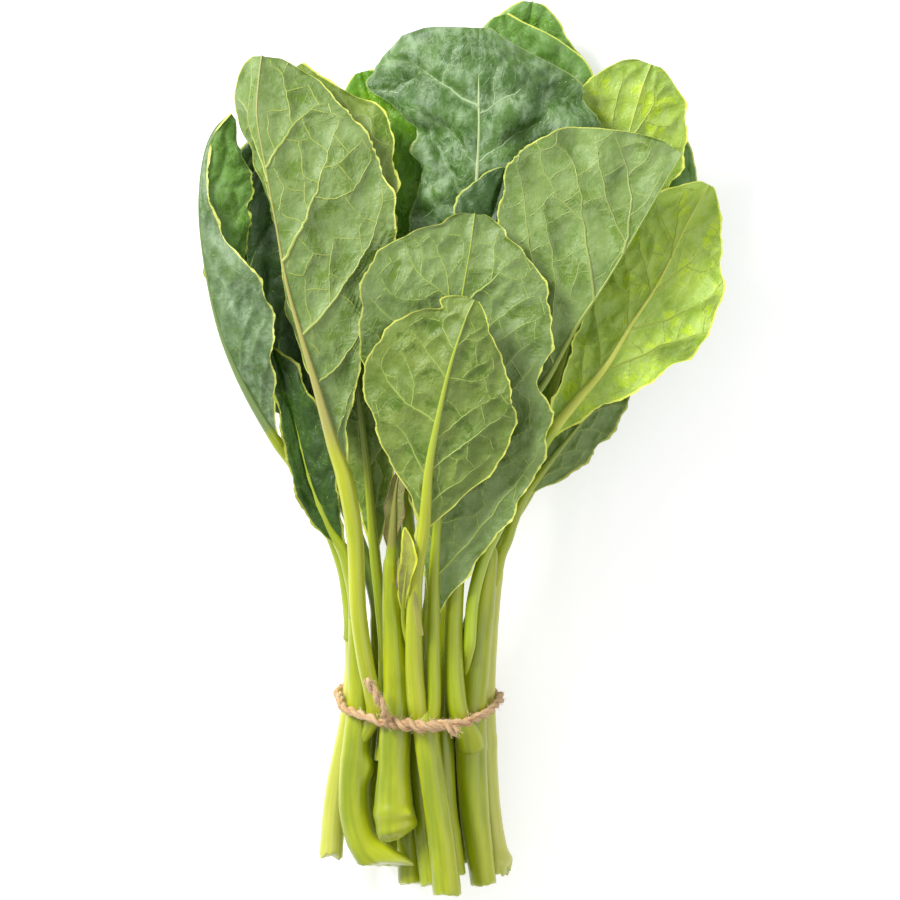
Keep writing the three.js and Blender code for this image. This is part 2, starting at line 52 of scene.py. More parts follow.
def along(values, t):
    # smooth value along an evenly spaced list, or the plain number itself
    t = np.asarray(t, float)
    if np.ndim(values) == 0:
        return np.full(t.shape, float(values))
    values = np.asarray(values, float)
    last = len(values) - 1
    place = np.clip(t, 0, 1) * last
    i = np.minimum(np.floor(place).astype(int), last - 1)
    f = place - i
    a, b = values[i], values[i + 1]
    slopeA = (b - values[np.maximum(i - 1, 0)]) / 2
    slopeB = (values[np.minimum(i + 2, last)] - a) / 2
    blend = f * f * (3 - 2 * f)
    return (1 - blend) * a + blend * b + (f ** 3 - 2 * f * f + f) * slopeA + (f ** 3 - f * f) * slopeB


def fade(value, low, high):
    # 0 below low, 1 above high, smooth between; low may be the larger one
    t = np.clip((value - low) / (high - low), 0, 1)
    return t * t * (3 - 2 * t)


def unit(vectors):
    return vectors / np.maximum(np.linalg.norm(vectors, axis=-1, keepdims=True), 1e-9)


def runLength(spots):
    # how far along a polyline each of its points is
    return np.concatenate([[0], np.cumsum(np.linalg.norm(np.diff(spots, axis=0), axis=1))])


class Route:
    # a smooth curve through given points, read by its share of length
    def __init__(self, points, perSpan=30):
        knots = np.array(points, float)
        knots = np.vstack([2 * knots[0] - knots[1], knots, 2 * knots[-1] - knots[-2]])
        t = np.arange(perSpan + 1)[:, None] / perSpan
        spots, slopes = [], []
        for a, b, c, d in zip(knots, knots[1:], knots[2:], knots[3:]):
            m, n = (c - a) / 2, (d - b) / 2
            spot = (2 * t ** 3 - 3 * t ** 2 + 1) * b + (t ** 3 - 2 * t ** 2 + t) * m
            spots.append(spot + (3 * t ** 2 - 2 * t ** 3) * c + (t ** 3 - t ** 2) * n)
            slope = (6 * t ** 2 - 6 * t) * (b - c) + (3 * t ** 2 - 4 * t + 1) * m
            slopes.append(slope + (3 * t ** 2 - 2 * t) * n)
        self.spots = np.vstack([s[:-1] for s in spots] + [spots[-1][-1:]])
        self.slopes = np.vstack([s[:-1] for s in slopes] + [slopes[-1][-1:]])
        reach = runLength(self.spots)
        self.length = reach[-1]
        self.shares = reach / self.length
        self.perSpan = perSpan

    def shareAtPoint(self, index):
        return self.shares[index * self.perSpan]

    def frameAt(self, share):
        # place, direction, right-hand side and up; runs on straight past both ends
        share = np.asarray(share, float)
        inside = np.clip(share, 0, 1)
        at = np.stack([np.interp(inside, self.shares, self.spots[:, k]) for k in range(3)], -1)
        ahead = unit(np.stack([np.interp(inside, self.shares, self.slopes[:, k]) for k in range(3)], -1))
        at = at + ahead * ((share - inside) * self.length)[..., None]
        side = unit(np.cross(ahead, upward))
        return at, ahead, side, np.cross(side, ahead)


# ---- node helpers

class Nodes:
    # writes a node tree; a value is a plain default or another node's output
    def __init__(self, tree):
        self.tree = tree

    def put(self, socket, value):
        if isinstance(value, bpy.types.NodeSocket):
            self.tree.links.new(value, socket)
        else:
            socket.default_value = value

    def add(self, kind, inputs=None, **settings):
        node = self.tree.nodes.new(kind)
        for key, value in settings.items():
            setattr(node, key, value)
        for key, value in (inputs or {}).items():
            self.put(node.inputs[key], value)
        return node

    def math(self, operation, *values):
        return self.add("ShaderNodeMath", dict(enumerate(values)), operation=operation).outputs[0]

    def vector(self, operation, *values):
        return self.add("ShaderNodeVectorMath", dict(enumerate(values)), operation=operation).outputs[0]

    def times(self, first, *others):
        for other in others:
            first = self.math("MULTIPLY", first, other)
        return first

    def plus(self, first, *others):
        for other in others:
            first = self.math("ADD", first, other)
        return first

    def stretched(self, vector, factors):
        return self.vector("MULTIPLY", vector, factors)

    def scaled(self, vector, factor):
        return self.add("ShaderNodeVectorMath", {0: vector, "Scale": factor}, operation="SCALE").outputs[0]

    def dot(self, a, b):
        return self.add("ShaderNodeVectorMath", {0: a, 1: b}, operation="DOT_PRODUCT").outputs["Value"]

    def mix(self, factor, a, b):
        return self.add("ShaderNodeMix", {0: factor, 6: a, 7: b}, data_type="RGBA").outputs[2]

    def blend(self, factor, a, b):
        return self.add("ShaderNodeMix", {0: factor, 2: a, 3: b}, data_type="FLOAT").outputs[0]

    def step(self, value, low, high, toLow=0.0, toHigh=1.0):
        inputs = dict(enumerate((value, low, high, toLow, toHigh)))
        return self.add("ShaderNodeMapRange", inputs, interpolation_type="SMOOTHSTEP").outputs[0]

    def noise(self, vector, scale, detail=2.0, roughness=0.5):
        return self.add("ShaderNodeTexNoise", {"Vector": vector, "Scale": scale, "Detail": detail,
                                               "Roughness": roughness}).outputs[0]

    def noiseVector(self, vector, scale, strength):
        node = self.add("ShaderNodeTexNoise", {"Vector": vector, "Scale": scale, "Detail": 1.0})
        shifted = self.vector("SUBTRACT", node.outputs["Color"], (0.5, 0.5, 0.5))
        return self.vector("ADD", vector, self.scaled(shifted, strength))

    def cellEdge(self, vector, scale):
        return self.add("ShaderNodeTexVoronoi", {"Vector": vector, "Scale": scale},
                        feature="DISTANCE_TO_EDGE").outputs["Distance"]

    def combine(self, x, y, z):
        return self.add("ShaderNodeCombineXYZ", {"X": x, "Y": y, "Z": z}).outputs[0]

    def attribute(self, name, output="Fac"):
        return self.add("ShaderNodeAttribute", attribute_name=name).outputs[output]

    def place(self, name):
        return self.add("ShaderNodeUVMap", uv_map=name).outputs[0]

    def seenDirectly(self):
        # 1 for what the camera sees straight, in a mirror or through glass
        path = self.add("ShaderNodeLightPath").outputs
        seen = self.math("MAXIMUM", path["Is Camera Ray"], path["Is Glossy Ray"])
        return self.math("MAXIMUM", seen, path["Is Transmission Ray"])

    def use(self, group, values):
        return self.add("ShaderNodeGroup", values, node_tree=group)


socketKinds = {"number": "NodeSocketFloat", "count": "NodeSocketInt", "colour": "NodeSocketColor",
               "geometry": "NodeSocketGeometry", "material": "NodeSocketMaterial"}


def startGroup(name, kind, inputs, outputs):
    tree = bpy.data.node_groups.new(name, kind)
    for label, socket in inputs.items():
        tree.interface.new_socket(name=label, in_out="INPUT", socket_type=socketKinds[socket])
    for label, socket in outputs.items():
        tree.interface.new_socket(name=label, in_out="OUTPUT", socket_type=socketKinds[socket])
    entry = tree.nodes.new("NodeGroupInput").outputs
    leave = tree.nodes.new("NodeGroupOutput").inputs
    return tree, Nodes(tree), entry, leave


def paint(red, green, blue):
    # a colour from its usual 0 to 255 values
    def linear(value):
        value = value / 255
        return value / 12.92 if value <= 0.04045 else ((value + 0.055) / 1.055) ** 2.4
    return (linear(red), linear(green), linear(blue), 1.0)


def startMaterial(name):
    material = bpy.data.materials.new(name)
    material.use_nodes = True
    material.node_tree.nodes.clear()
    nodes = Nodes(material.node_tree)
    shader = nodes.add("ShaderNodeBsdfPrincipled")
    output = nodes.add("ShaderNodeOutputMaterial")
    nodes.put(output.inputs["Surface"], shader.outputs[0])
    return material, nodes, shader, output


# ---- leaf tissue: veins, bloom and margin on one face of a blade

# scales are patterns per centimetre; each width pair is where a mark begins and where it is full
leafPattern = {
    "leanScale": 0.6, "lean": 0.4, "webStretch": (1.0, 0.7, 1.0), "streakStretch": (1.4, 0.8, 1.0),
    "patchScale": 0.55, "patch": (0.4, 0.6),
    "streakScale": 1.5, "bloom": (0.42, 0.68), "dullOver": (0.35, 0.7), "dull": (0.4, 0.58), "rubbedDull": 0.36,
    "rubScale": 0.8, "rubEdge": (3.0, 0.22), "rubbed": (0.53, 0.62),
    "speckScale": 9.0, "speck": (0.66, 0.74), "speckShare": 0.5,
    "webScale": 2.6, "web": (0.07, 0.015), "webShare": 0.35, "webHeight": 0.09,
    "webPatchScale": 0.8, "webPatch": (0.42, 0.62),
    "fineScale": 7.0, "fine": (0.16, 0.03), "fineShare": 0.1, "fineHeight": 0.02,
    # a painted highlight: a pale band beside every vein, within these millimetres
    "paintedVeinHighlight": (2.2, 0.4), "paintedVeinHighlightShare": 0.4,                       # millimetres from a vein
    "margin": (0.76, 0.32), "marginShare": 0.92,                  # millimetres from the edge
    "marginScale": 2.2, "marginWander": 0.6,
    "waveScale": 1.1, "waveHeight": 1.4, "pebbleScale": 4.2, "pebbleHeight": 0.42,
}


def buildTissue():
    colours = ["Base", "Second", "Rubbed", "Vein And Highlight", "Margin", "Bloom"]
    amounts = ["Web Strength", "Bloom Strength", "Rubbed Strength", "Relief"]
    inputs = {**{label: "colour" for label in colours}, **{label: "number" for label in amounts}}
    outputs = {"Color": "colour", "Roughness": "number", "Height": "number"}
    tree, n, entry, leave = startGroup("leafTissue", "ShaderNodeTree", inputs, outputs)
    p = leafPattern

    flat = n.place("flat")                      # centimetres on the blade laid flat
    away = n.attribute("away")                  # millimetres to the nearest vein
    margin = n.attribute("margin")              # millimetres to the edge
    lean = n.noiseVector(flat, p["leanScale"], p["lean"])
    shown = n.step(n.noise(flat, p["webPatchScale"]), *p["webPatch"])
    cells = n.cellEdge(n.stretched(lean, p["webStretch"]), p["webScale"])
    web = n.times(n.step(cells, *p["web"]), shown)
    fine = n.step(n.cellEdge(lean, p["fineScale"]), *p["fine"])

    patch = n.step(n.noise(flat, p["patchScale"], 4.0, 0.6), *p["patch"])
    colour = n.mix(patch, entry["Base"], entry["Second"])
    streak = n.noise(n.stretched(lean, p["streakStretch"]), p["streakScale"], 6.0, 0.68)
    colour = n.mix(n.times(n.step(streak, *p["bloom"]), entry["Bloom Strength"]), colour, entry["Bloom"])
    rub = n.noise(n.noiseVector(flat, *p["rubEdge"]), p["rubScale"], 5.0, 0.66)
    rubbed = n.times(n.step(rub, *p["rubbed"]), entry["Rubbed Strength"])
    colour = n.mix(rubbed, colour, entry["Rubbed"])
    specks = n.times(n.step(n.noise(flat, p["speckScale"], 2.0), *p["speck"]), p["speckShare"])
    colour = n.mix(n.times(specks, entry["Rubbed Strength"]), colour, entry["Rubbed"])
    # the fine web and fine veins take the pale vein colour, their own tone
    for mark, share in ((fine, p["fineShare"]), (web, p["webShare"])):
        colour = n.mix(n.times(mark, share, entry["Web Strength"]), colour, entry["Vein And Highlight"])
    # painted highlight: the vein colour laid as a pale band beside every vein, standing in for light on the
    # raised veins
    colour = n.mix(n.times(n.step(away, *p["paintedVeinHighlight"]), p["paintedVeinHighlightShare"]), colour, entry["Vein And Highlight"])
    wander = n.times(n.math("SUBTRACT", n.noise(flat, p["marginScale"]), 0.5), p["marginWander"])
    edging = n.step(n.plus(margin, wander), *p["margin"])
    colour = n.mix(n.times(edging, p["marginShare"]), colour, entry["Margin"])

    # height in millimetres: fine veins stand up on the underside and sink in on the upper face
    height = n.times(n.plus(n.times(web, p["webHeight"]), n.times(fine, p["fineHeight"])), entry["Relief"])
    height = n.plus(height, n.times(n.noise(lean, p["waveScale"], 3.0), p["waveHeight"]))
    height = n.plus(height, n.times(n.noise(lean, p["pebbleScale"], 4.0, 0.6), p["pebbleHeight"]))
    dull = n.step(streak, *p["dullOver"], *p["dull"])

    n.put(leave["Color"], colour)
    n.put(leave["Roughness"], n.blend(rubbed, dull, p["rubbedDull"]))
    n.put(leave["Height"], height)
    return tree


leafTissue = buildTissue()


# the faces of the blades: base, second tone, rubbed, fine-vein colour that also paints the highlight beside a
# vein, margin and bloom; then how strong the fine web, the bloom and the rubbed patches are, and how far the fine
# veins stand up
bladeLooks = {
    "greyUnder": (((110, 138, 62), (132, 158, 84), (98, 130, 14), (150, 174, 104),
        (236, 242, 116), (162, 186, 128)), (0.8, 0.46, 0.8, 1.0)),
    "midUnder": (((102, 128, 38), (126, 148, 58), (80, 112, 2), (142, 164, 82),
        (232, 236, 108), (144, 166, 94)), (0.7, 0.55, 0.9, 1.0)),
    "limeUnder": (((132, 164, 44), (160, 188, 66), (176, 204, 22), (176, 200, 100),
        (236, 242, 108), (180, 204, 124)), (0.7, 0.5, 0.85, 1.0)),
    "blueUnder": (((86, 116, 66), (110, 138, 86), (82, 116, 34), (130, 156, 106),
        (230, 236, 118), (158, 182, 144)), (0.4, 0.75, 0.6, 0.8)),
    "darkUpper": (((58, 96, 22), (88, 126, 52), (48, 90, 6), (136, 168, 104),
        (148, 170, 96), (170, 196, 156)), (0.5, 0.62, 0.8, -1.1)),
    "deepUpper": (((44, 78, 22), (60, 94, 32), (54, 90, 18), (80, 112, 50),
        (196, 210, 92), (84, 116, 64)), (0.5, 0.35, 0.5, -0.9)),
    "freshUpper": (((92, 136, 46), (116, 160, 70), (86, 134, 16), (140, 176, 96),
        (228, 236, 106), (148, 182, 120)), (0.6, 0.6, 0.7, -1.0)),
    "brightUpper": (((46, 86, 0), (62, 108, 4), (88, 134, 6), (104, 144, 34),
        (226, 236, 92), (84, 122, 30)), (0.6, 0.3, 0.6, -1.0)),
    # a lighter copy of the bright upper face: painted light for the backlit leaf at the top
    "paintedBacklitUpper": (((92, 148, 0), (112, 168, 8), (132, 182, 10), (140, 184, 50),
        (228, 238, 92), (124, 168, 44)), (0.6, 0.3, 0.6, -1.0)),
    "driedBoth": (((146, 154, 76), (130, 138, 66), (124, 100, 60), (160, 164, 98),
        (146, 124, 76), (146, 132, 96)), (0.8, 0.5, 0.75, 0.8)),
    "budBoth": (((178, 186, 66), (152, 152, 80), (130, 104, 84), (190, 196, 96),
        (238, 242, 70), (130, 102, 90)), (0.7, 0.65, 0.75, 0.6)),
}


def bladeLook(name):
    colours, amounts = bladeLooks[name]
    labels = ("Base", "Second", "Rubbed", "Vein And Highlight", "Margin", "Bloom")
    look = {label: paint(*colour) for label, colour in zip(labels, colours)}
    look.update(zip(("Web Strength", "Bloom Strength", "Rubbed Strength", "Relief"), amounts))
    return look


# a little light comes through a blade, in one yellow-green
bladeFinish = {"specular": 0.5, "glow": 0.12, "glowColour": paint(132, 164, 64), "bumpStep": 0.001}


def leafMaterial(under, upper):
    name = "blade_" + under + "_" + upper
    if name in bpy.data.materials:
        return bpy.data.materials[name]
    material, n, shader, output = startMaterial(name)
    below = n.use(leafTissue, bladeLook(under)).outputs
    above = n.use(leafTissue, bladeLook(upper)).outputs
    isUnder = n.attribute("under")
    colour = n.mix(isUnder, above["Color"], below["Color"])
    # each leaf's lighter or darker value is partly its own tone and partly painted light and painted shade, set
    # to how lit or shaded the leaf lies
    toneAndPaintedLight = n.plus(n.attribute("toneAndPaintedLight"), 1.0)   # a little lighter or darker from leaf to leaf
    colour = n.add("ShaderNodeHueSaturation", {"Value": toneAndPaintedLight, "Color": colour}).outputs[0]
    bump = n.add("ShaderNodeBump", {"Strength": 1.0, "Distance": bladeFinish["bumpStep"]})
    n.put(bump.inputs["Height"], n.blend(isUnder, above["Height"], below["Height"]))
    n.put(shader.inputs["Base Color"], colour)
    n.put(shader.inputs["Roughness"], n.blend(isUnder, above["Roughness"], below["Roughness"]))
    n.put(shader.inputs["Normal"], bump.outputs[0])
    shader.inputs["Specular IOR Level"].default_value = bladeFinish["specular"]
    glow = n.add("ShaderNodeBsdfTranslucent", {"Color": bladeFinish["glowColour"], "Normal": bump.outputs[0]})
    both = n.add("ShaderNodeMixShader", {0: bladeFinish["glow"], 1: shader.outputs[0], 2: glow.outputs[0]})
    n.put(output.inputs["Surface"], both.outputs[0])
    return material


# ---- stem tissue: long fibres, waxy patches and pale cut faces

# stretches are across and along the fibres; each pair is where a mark begins and where it is full
stemPattern = {
    "lean": (0.5, 0.12), "fibreStretch": (3.2, 3.2, 0.1), "fibre": (0.45, 0.75), "fibreHeight": 0.9,
    "fineStretch": (14.0, 14.0, 0.25), "fine": (0.55, 0.8), "fineShare": 0.14, "fineHeight": 0.2,
    "broadStretch": (0.8, 0.8, 0.3), "patch": (0.32, 0.68), "shineOver": (0.3, 0.7), "shine": (0.3, 0.42),
    "freckleStretch": (3.0, 3.0, 1.6), "freckle": (0.52, 0.75), "freckleShare": 0.1, "freckleHeight": 0.2,
    "scarShare": 0.7, "cutSpeck": (0.4, 0.7), "cutSpeckShare": 0.3, "pith": (1.15, 1.6), "cutEdge": (0.05, 0.8),
    "toStem": (0.1, 1.0), "toMidrib": (1.0, 1.5), "toVein": (2.2, 2.8),      # on climb
}


def buildStemTissue():
    colours = ["Stalk Light", "Stalk Deep", "Light", "Deep", "Rib", "Vein", "Streak And Highlight", "Cut", "Pith", "Scar"]
    inputs = {**{label: "colour" for label in colours}, "Streak Strength": "number"}
    outputs = {"Color": "colour", "Roughness": "number", "Height": "number"}
    tree, n, entry, leave = startGroup("stemTissue", "ShaderNodeTree", inputs, outputs)
    p = stemPattern

    grain = n.attribute("grain", "Vector")      # around the stem twice, then centimetres along it
    climb = n.attribute("climb")      # 0 on a stalk, 1 on a leaf stem, 2 on a midrib, 3 on a side vein
    lean = n.noiseVector(grain, *p["lean"])
    fibres = n.noise(n.stretched(lean, p["fibreStretch"]), 1.0, 3.0, 0.55)
    fine = n.noise(n.stretched(lean, p["fineStretch"]), 1.0, 2.0, 0.5)
    broad = n.noise(n.stretched(grain, p["broadStretch"]), 1.0, 2.0)
    patch = n.step(broad, *p["patch"])
    low = n.mix(patch, entry["Stalk Deep"], entry["Stalk Light"])
    high = n.mix(patch, entry["Deep"], entry["Light"])
    colour = n.mix(n.step(climb, *p["toStem"]), low, high)
    colour = n.mix(n.step(climb, *p["toMidrib"]), colour, entry["Rib"])
    # streaky fibre tone together with a painted highlight: lighter where the same noise raises the fibres
    colour = n.mix(n.times(n.step(fibres, *p["fibre"]), entry["Streak Strength"]), colour, entry["Streak And Highlight"])
    colour = n.mix(n.times(n.step(fine, *p["fine"]), p["fineShare"]), colour, entry["Streak And Highlight"])
    colour = n.mix(n.step(climb, *p["toVein"]), colour, entry["Vein"])
    freckle = n.noise(n.stretched(grain, p["freckleStretch"]), 2.0, 4.0, 0.7)
    colour = n.mix(n.times(n.step(freckle, *p["freckle"]), p["freckleShare"]), colour, entry["Cut"])
    colour = n.mix(n.times(n.math("MINIMUM", n.attribute("scar"), 1.0), p["scarShare"]), colour, entry["Scar"])
    cut = n.attribute("cut")                    # above 1 on the cut face, under 1 on its rim
    face = n.mix(n.step(cut, *p["pith"]), entry["Cut"], entry["Pith"])
    speck = n.step(n.noise(grain, 6.0, 3.0), *p["cutSpeck"])
    face = n.mix(n.times(speck, p["cutSpeckShare"]), face, entry["Deep"])
    colour = n.mix(n.step(cut, *p["cutEdge"]), colour, face)

    n.put(leave["Color"], colour)
    n.put(leave["Roughness"], n.step(broad, *p["shineOver"], *p["shine"]))
    n.put(leave["Height"], n.plus(n.times(fibres, p["fibreHeight"]), n.times(fine, p["fineHeight"]),
                                  n.times(freckle, p["freckleHeight"])))
    return tree


stemTissue = buildStemTissue()

stalkColours = {"Stalk Light": (180, 190, 12), "Stalk Deep": (134, 152, 2), "Cut": (204, 212, 110),
                "Pith": (230, 234, 184), "Scar": (192, 198, 104)}
# Streak is the paler fibre colour, both the stem's streaky tone and a painted highlight on raised fibres
stemLooks = {
    "green": {"Light": (174, 188, 24), "Deep": (148, 166, 10), "Streak And Highlight": (194, 204, 62)},
    "pale": {"Light": (192, 198, 44), "Deep": (168, 180, 22), "Streak And Highlight": (212, 216, 92)},
    "outer": {"Light": (174, 188, 24), "Deep": (148, 166, 10), "Streak And Highlight": (226, 228, 120),
              "Stalk Light": (210, 212, 98), "Stalk Deep": (190, 196, 68)},
    "fresh": {"Light": (186, 208, 36), "Deep": (160, 186, 20), "Streak And Highlight": (214, 224, 110)},
    "dark": {"Light": (132, 158, 58), "Deep": (106, 136, 40), "Streak And Highlight": (158, 180, 86)},
    "purple": {"Light": (150, 118, 136), "Deep": (118, 96, 96), "Streak And Highlight": (176, 150, 160)},
    "spike": {"Light": (190, 190, 84), "Deep": (170, 172, 60), "Streak And Highlight": (204, 200, 120)},
}
# midrib and side veins
ribLooks = {
    "green": ((168, 186, 52), (162, 184, 84)), "grey": ((150, 170, 70), (160, 180, 96)),
    "rosy": ((170, 166, 88), (164, 180, 84)), "white": ((184, 202, 148), (158, 182, 134)),
    "blade": ((116, 142, 84), (118, 146, 96)), "lime": ((220, 228, 92), (172, 194, 70)),
    "brown": ((142, 142, 66), (150, 150, 84)),
}
# streaks is how strongly the streak colour and its painted highlight show
# the waxy skin looks pale edge on, which is the sheen
stemFinish = {"streakAndHighlight": 0.3, "bump": 0.8, "bumpStep": 0.00016, "specular": 0.4, "coat": 0.35, "coatRough": 0.22,
              "sheen": 0.6, "sheenRough": 0.3, "sheenTint": paint(236, 240, 150)}


def stemMaterial(look, rib):
    name = "stem_" + look + "_" + rib
    if name in bpy.data.materials:
        return bpy.data.materials[name]
    material, n, shader, _ = startMaterial(name)
    midrib, vein = ribLooks[rib]
    colours = {**stalkColours, **stemLooks[look], "Rib": midrib, "Vein": vein}
    colours = {label: paint(*colour) for label, colour in colours.items()}
    tissue = n.use(stemTissue, {**colours, "Streak Strength": stemFinish["streakAndHighlight"]})
    bump = n.add("ShaderNodeBump", {"Strength": stemFinish["bump"], "Distance": stemFinish["bumpStep"]})
    n.put(bump.inputs["Height"], tissue.outputs["Height"])
    n.put(shader.inputs["Base Color"], tissue.outputs["Color"])
    n.put(shader.inputs["Roughness"], tissue.outputs["Roughness"])
    n.put(shader.inputs["Normal"], bump.outputs[0])
    shader.inputs["Specular IOR Level"].default_value = stemFinish["specular"]
    shader.inputs["Coat Weight"].default_value = stemFinish["coat"]
    shader.inputs["Coat Roughness"].default_value = stemFinish["coatRough"]
    shader.inputs["Sheen Weight"].default_value = stemFinish["sheen"]
    shader.inputs["Sheen Roughness"].default_value = stemFinish["sheenRough"]
    shader.inputs["Sheen Tint"].default_value = stemFinish["sheenTint"]
    return material


# ---- sweep: a skin along a polyline, by Geometry Nodes

def named(n, name, kind="FLOAT"):
    return n.add("GeometryNodeInputNamedAttribute", {"Name": name}, data_type=kind).outputs[0]


def store(n, geometry, name, value, kind="FLOAT"):
    node = n.add("GeometryNodeStoreNamedAttribute", {"Geometry": geometry, "Name": name, "Value": value},
                 data_type=kind, domain="POINT")
    return node.outputs[0]


def finishTree(n, geometry, material):
    smooth = n.add("GeometryNodeSetShadeSmooth", {"Geometry": geometry, "Shade Smooth": True})
    real = n.add("GeometryNodeRealizeInstances", {"Geometry": smooth.outputs[0]})
    return n.add("GeometryNodeSetMaterial", {"Geometry": real.outputs[0], "Material": material}).outputs[0]


def buildSweep():
    inputs = {"Geometry": "geometry", "Sides": "count", "Ribs": "count", "Rib Depth": "number",
              "Roughness": "number", "Grain Size": "number", "Material": "material"}
    tree, n, entry, leave = startGroup("stemSweep", "GeometryNodeTree", inputs, {"Geometry": "geometry"})
    line = n.add("GeometryNodeMeshToCurve", {"Mesh": entry["Geometry"]})
    normals = n.add("GeometryNodeSetCurveNormal", {"Curve": line.outputs[0]}, mode="Z_UP")
    place = n.add("GeometryNodeInputPosition").outputs[0]
    centre = store(n, normals.outputs[0], "centre", place, "FLOAT_VECTOR")
    ring = n.add("GeometryNodeCurvePrimitiveCircle", {"Resolution": entry["Sides"], "Radius": 1.0})
    turned = store(n, ring.outputs[0], "turn", n.add("GeometryNodeSplineParameter").outputs["Factor"])
    skin = n.add("GeometryNodeCurveToMesh", {
        "Curve": centre, "Profile Curve": turned, "Scale": named(n, "girth"), "Fill Caps": True})

    # squash the skin towards its own plane and push it towards one face
    girth = named(n, "girth")
    face = named(n, "face", "FLOAT_VECTOR")
    arm = n.vector("SUBTRACT", place, named(n, "centre", "FLOAT_VECTOR"))
    squash = n.times(n.dot(arm, face), n.math("SUBTRACT", named(n, "flat"), 1.0))
    push = n.times(named(n, "lift"), girth)
    angle = n.times(named(n, "turn"), math.tau)
    ribs = n.times(n.math("SINE", n.times(angle, entry["Ribs"])), n.times(entry["Rib Depth"], girth))
    lumps = n.noise(n.scaled(place, n.math("DIVIDE", 1.0, entry["Grain Size"])), 1.0, 2.0)
    lumps = n.times(n.math("SUBTRACT", lumps, 0.5), n.times(entry["Roughness"], girth))
    bumps = n.scaled(n.vector("NORMALIZE", arm), n.plus(ribs, lumps))
    offset = n.vector("ADD", n.scaled(face, n.plus(squash, push)), bumps)
    moved = n.add("GeometryNodeSetPosition", {"Geometry": skin.outputs[0], "Offset": offset})
    grain = n.combine(n.math("COSINE", angle), n.math("SINE", angle), named(n, "reachAlong"))
    grained = store(n, moved.outputs[0], "grain", grain, "FLOAT_VECTOR")
    n.put(leave["Geometry"], finishTree(n, grained, entry["Material"]))
    return tree


def socketOf(tree, name):
    return next(item.identifier for item in tree.interface.items_tree
                if item.name == name and item.in_out == "INPUT")


def growMesh(tree, mesh, values, name):
    # runs a Geometry Nodes tree on a mesh and gives back the plain result
    holder = bpy.data.objects.new(name + "_line", mesh)
    bpy.context.scene.collection.objects.link(holder)
    modifier = holder.modifiers.new("grow", "NODES")
    modifier.node_group = tree
    for label, value in values.items():
        modifier[socketOf(tree, label)] = value
    holder.update_tag()
    graph = bpy.context.evaluated_depsgraph_get()
    graph.update()
    result = bpy.data.meshes.new_from_object(holder.evaluated_get(graph), depsgraph=graph)
    result.name = name
    holder.modifiers.clear()
    bpy.data.objects.remove(holder)
    return result


def setAttribute(mesh, name, kind, values):
    layer = mesh.attributes.new(name, kind, "POINT")
    field = "vector" if kind == "FLOAT_VECTOR" else "value"
    layer.data.foreach_set(field, np.ascontiguousarray(values, dtype=np.float32).ravel())


def lineMesh(name, spots, points, closed=False, edges=None):
    # a polyline in millimetres with a value for every point, ready for a tree
    count = len(spots)
    if edges is None:
        edges = [(i, i + 1) for i in range(count - 1)] + ([(count - 1, 0)] if closed else [])
    mesh = bpy.data.meshes.new(name + "_line")
    mesh.from_pydata((spots * mm).tolist(), edges, [])
    for key, values in points.items():
        setAttribute(mesh, key, "FLOAT_VECTOR" if np.ndim(values) == 2 else "FLOAT", values)
    return mesh


stemSweep = buildSweep()
sweepDefaults = {"flat": 1.0, "lift": 0.0, "cut": 0.0, "scar": 0.0, "climb": 0.0}
lumpSize = 9 * mm


def sweepStem(name, spots, face, girth, reach, build, material, edges=None, **points):
    # spots, girth and reach in millimetres; face points to the side that lift pushes towards
    points = {**sweepDefaults, **points, "girth": girth * mm, "reachAlong": reach / 10}
    values = {key: np.broadcast_to(value, (len(spots),)) for key, value in points.items()}
    mesh = lineMesh(name, spots, {**values, "face": face}, edges=edges)
    return growMesh(stemSweep, mesh, {
        "Sides": build["sides"], "Ribs": build["ribs"], "Rib Depth": build["ribDepth"],
        "Roughness": build["rough"], "Grain Size": lumpSize, "Material": material}, name)


def joinPiece(name, meshes):
    # one object of several meshes, at the origin
    parts = [bpy.data.objects.new(name if i == 0 else name + "_part", mesh) for i, mesh in enumerate(meshes)]
    for part in parts:
        bpy.context.scene.collection.objects.link(part)
    if len(parts) > 1:
        with bpy.context.temp_override(active_object=parts[0], object=parts[0], selected_objects=parts,
                                       selected_editable_objects=parts):
            bpy.ops.object.join()
    return parts[0]


def settle(piece, node):
    # hands a finished piece over to the frame
    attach(piece, "root")
    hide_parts(node)


# ---- stalks

